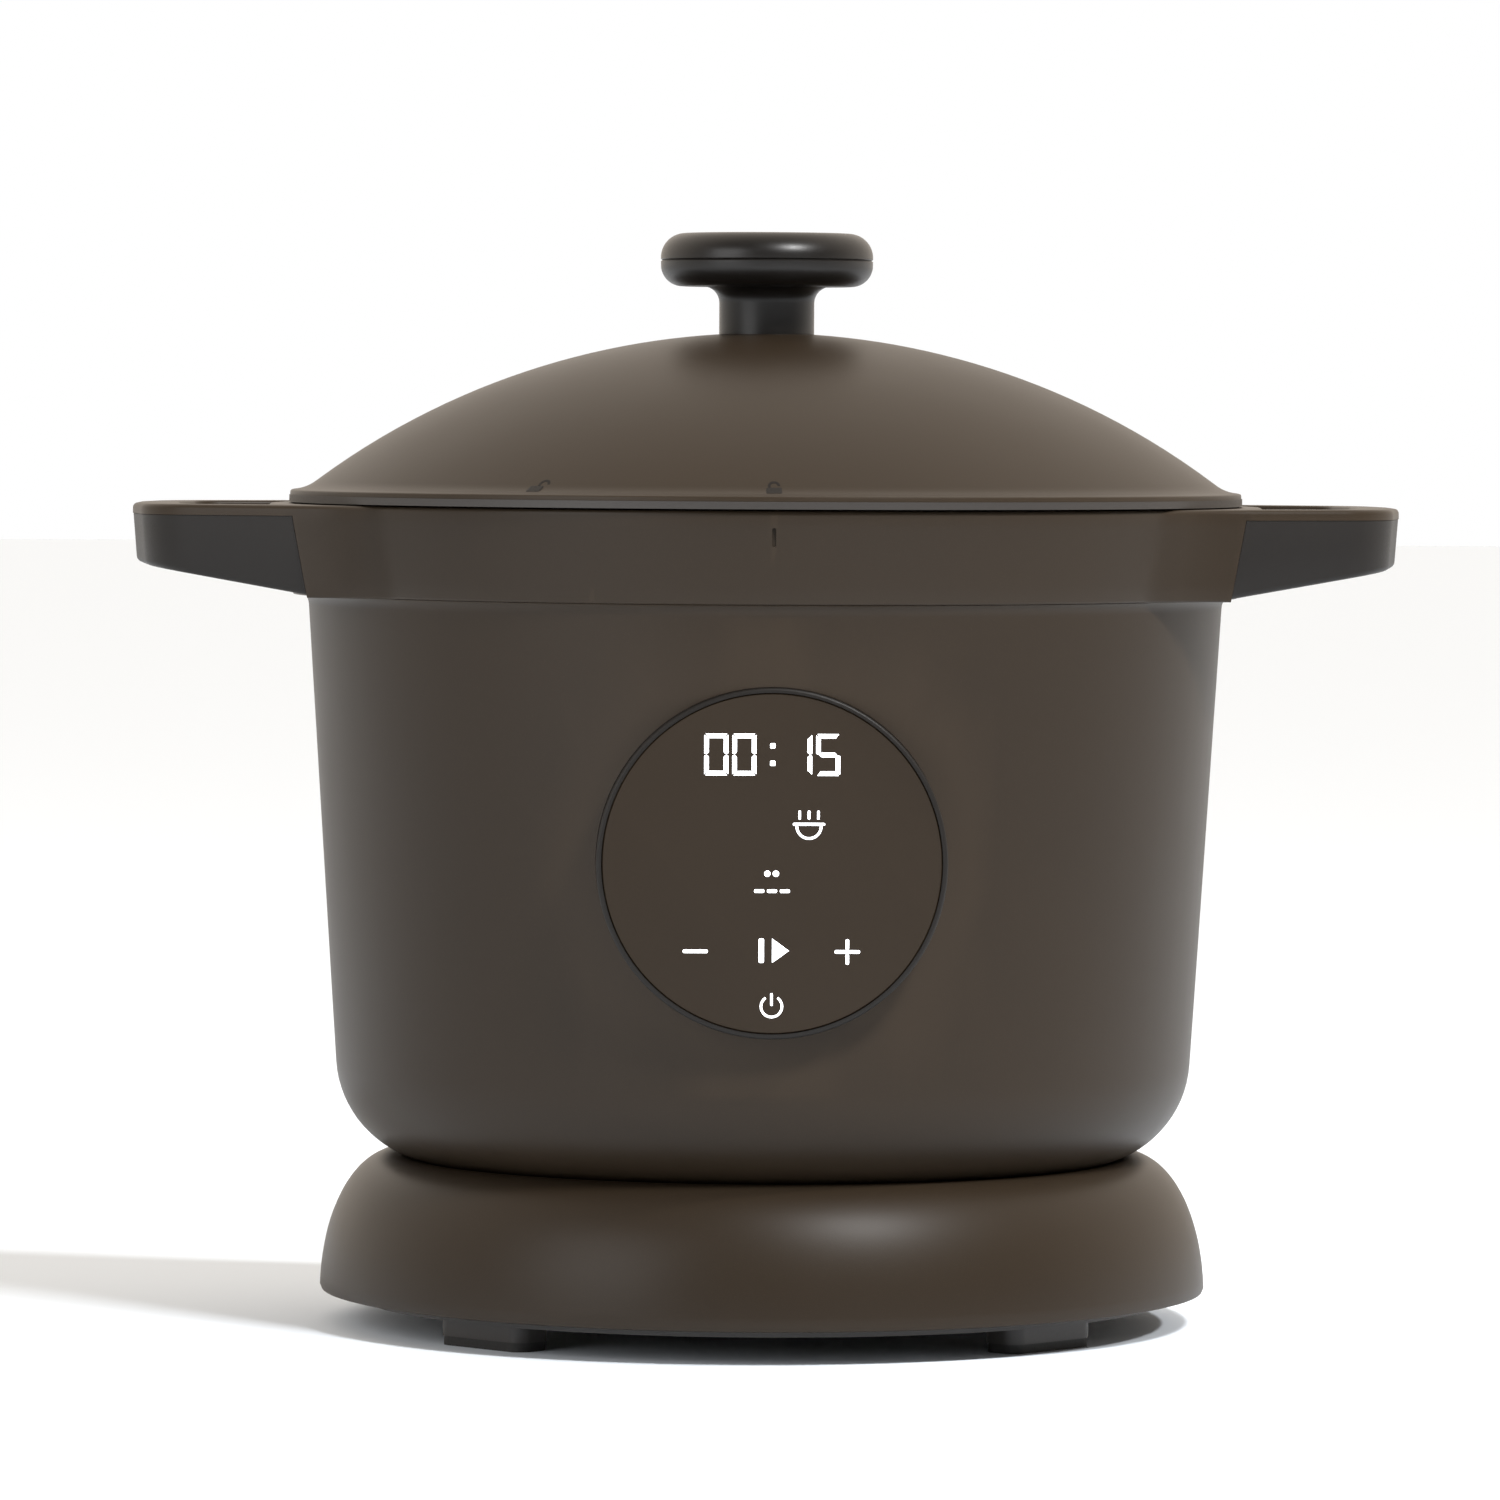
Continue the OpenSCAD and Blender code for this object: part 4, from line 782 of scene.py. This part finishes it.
def symbol(name, outlines, finish):
    """Flat shapes on the display, each drawn as (right, up) from its centre."""
    mesh = bpy.data.meshes.new(name)
    bm = bmesh.new()
    for outline in outlines:
        front, back = ([bm.verts.new(Vector((PANEL_X + x, depth, PANEL_Z + y)) * MM) for x, y in outline]
                       for depth in (LENS_FACE - SYMBOL_T, LENS_FACE))
        bm.faces.new(front)
        for i in range(len(outline)):
            j = (i + 1) % len(outline)
            bm.faces.new((front[j], front[i], back[i], back[j]))
        bm.faces.new(back[::-1])
    bmesh.ops.recalc_face_normals(bm, faces=bm.faces)
    bmesh.ops.triangulate(bm, faces=[f for f in bm.faces if len(f.verts) > 4])
    bm.to_mesh(mesh)
    bm.free()
    mesh.materials.append(finish)
    obj = bpy.data.objects.new(name, mesh)
    bpy.context.collection.objects.link(obj)
    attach(obj, "housing")
    return obj


def bar(x0, y0, x1, y1, r=0.2, steps=4):
    """A rectangle with rounded corners."""
    out = []
    centres = ((x1 - r, y1 - r), (x0 + r, y1 - r), (x0 + r, y0 + r), (x1 - r, y0 + r))
    for start, (cx, cy) in zip((0, 90, 180, 270), centres):
        for i in range(steps + 1):
            a = math.radians(start + 90 * i / steps)
            out.append((cx + r * math.cos(a), cy + r * math.sin(a)))
    return out


def arc_band(x, y, r_out, r_in, start, end, steps=28):
    angles = [math.radians(start + (end - start) * i / steps) for i in range(steps + 1)]
    return ([(x + r_out * math.cos(a), y + r_out * math.sin(a)) for a in angles]
            + [(x + r_in * math.cos(a), y + r_in * math.sin(a)) for a in reversed(angles)])


def digit(x0, x1, low, high, lit_segments):
    """A seven-segment digit: a top, b and c right, d bottom, e and f left, g middle."""
    w, g = SEGMENT_W, 0.35
    mid = (low + high) / 2
    near, far = g * 0.3, w + g * 0.6
    shapes = {
        "a": [(x0 + g, high), (x1 - g, high), (x1 - w, high - w), (x0 + w, high - w)],
        "d": [(x0 + w, low + w), (x1 - w, low + w), (x1 - g, low), (x0 + g, low)],
        "b": [(x1, high - g), (x1, mid + g), (x1 - w / 2, mid + near),
              (x1 - w, mid + w / 2), (x1 - w, high - far)],
        "c": [(x1, mid - g), (x1, low + g), (x1 - w, low + far),
              (x1 - w, mid - w / 2), (x1 - w / 2, mid - near)],
        "e": [(x0, mid - g), (x0 + w / 2, mid - near), (x0 + w, mid - w / 2),
              (x0 + w, low + far), (x0, low + g)],
        "f": [(x0, high - g), (x0 + w, high - far), (x0 + w, mid + w / 2),
              (x0 + w / 2, mid + near), (x0, mid + g)],
        "g": [(x0 + w * 0.7, mid), (x0 + w * 1.2, mid + w / 2), (x1 - w * 1.2, mid + w / 2),
              (x1 - w * 0.7, mid), (x1 - w * 1.2, mid - w / 2), (x0 + w * 1.2, mid - w / 2)],
    }
    return [shapes[s] for s in lit_segments]


GLOW = lit("display_glow", 3.0)
DIGIT_LOW, DIGIT_HIGH, DIGIT_W = 25.8, 38.0, 7.0
DIGITS = ((-20.0, "abcdef"), (-11.8, "abcdef"), (4.5, "bc"), (12.7, "afgcd"))
COLON = [bar(-0.75, y, 0.75, y + 1.5, 0.3) for y in (33.75, 28.65)]
symbol("digits", [shape for x, segments in DIGITS
                  for shape in digit(x, x + DIGIT_W, DIGIT_LOW, DIGIT_HIGH, segments)] + COLON, GLOW)
STEAM = [bar(x, 13.0, x + 0.7, 15.6, 0.3) for x in (7.6, 10.35, 13.1)]
BOWL = [arc_band(10.7, 11.0, 3.9, 3.2, 180, 360), bar(6.0, 11.2, 15.4, 12.0, 0.35)]
symbol("mode_symbol", BOWL + STEAM, GLOW)
symbol("level_dots", [disc(-1.4, -2.9, 0.9), disc(1.1, -2.9, 0.9)], GLOW)
symbol("level_bars", [bar(x, -8.5, x + 2.9, -7.5, 0.4) for x in (-5.2, -1.45, 2.3)], GLOW)
symbol("less_key", [bar(-26.0, -26.2, -18.7, -25.2, 0.4)], GLOW)
symbol("more_key", [bar(18.4, -26.2, 25.8, -25.2, 0.4)]
       + [bar(21.6, y, 22.6, y + 3.1, 0.4) for y in (-29.4, -25.1)], GLOW)
symbol("start_key", [bar(-3.8, -29.0, -2.3, -21.9, 0.4), [(0.1, -21.9), (0.1, -29.0), (5.0, -25.45)]], GLOW)
symbol("power_key", [arc_band(0, -41.8, 3.4, 2.75, -235, 55), bar(-0.35, -41.6, 0.35, -37.9, 0.3)], GLOW)

# ---------------------------------------------------------------- marks on the lid


def tree_of(obj):
    bm = bmesh.new()
    bm.from_mesh(obj.data)
    tree = BVHTree.FromBMesh(bm)
    bm.free()
    return tree


def draped(name, outlines, radius, angle, finish, body, lift=0.06):
    """Flat shapes laid on the lid, drawn as (sideways, outwards) at a radius and angle."""
    tree = tree_of(frame["nodes"]["lid_shell"])
    bm = bmesh.new()
    for outline in outlines:
        top, low = [], []
        for x, y in outline:
            point = Vector(((radius - y) * math.cos(angle) - x * math.sin(angle),
                            (radius - y) * math.sin(angle) + x * math.cos(angle), 400)) * MM
            hit = tree.ray_cast(point, Vector((0, 0, -1)))[0]
            top.append(bm.verts.new(hit + Vector((0, 0, lift * MM))))
            low.append(bm.verts.new(hit - Vector((0, 0, 0.1 * MM))))
        bm.faces.new(top)
        for i in range(len(outline)):
            j = (i + 1) % len(outline)
            bm.faces.new((top[j], top[i], low[i], low[j]))
        bm.faces.new(low[::-1])
    bmesh.ops.recalc_face_normals(bm, faces=bm.faces)
    bmesh.ops.triangulate(bm, faces=[f for f in bm.faces if len(f.verts) > 4])
    mesh = bpy.data.meshes.new(name)
    bm.to_mesh(mesh)
    bm.free()
    mesh.materials.append(finish)
    obj = bpy.data.objects.new(name, mesh)
    bpy.context.collection.objects.link(obj)
    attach(obj, body)
    return obj


def padlock(lean):
    """A padlock as flat shapes; its shackle is shut at 0 and stands to one side when lean is above 0."""
    return [bar(-2.3, -3.0, 2.3, 0.2, 0.5), arc_band(lean, 0.9, 1.8, 1.0, 0, 180),
            bar(lean - 1.8, 0.3, lean - 1.0, 0.9, 0.05)]


MARK = moulded("lid_mark", (0.006, 0.005, 0.0045), 0.5, strength=0.1, Specular_IOR_Level=0.15)
LID_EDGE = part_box("lid_shell")[1].x / MM
draped("lock_mark", padlock(0), LID_EDGE - 7.4, -math.pi / 2, MARK, "lid")
draped("unlock_mark", padlock(1.9), LID_EDGE - 7.4, -math.pi / 2 - math.radians(30), MARK, "lid")
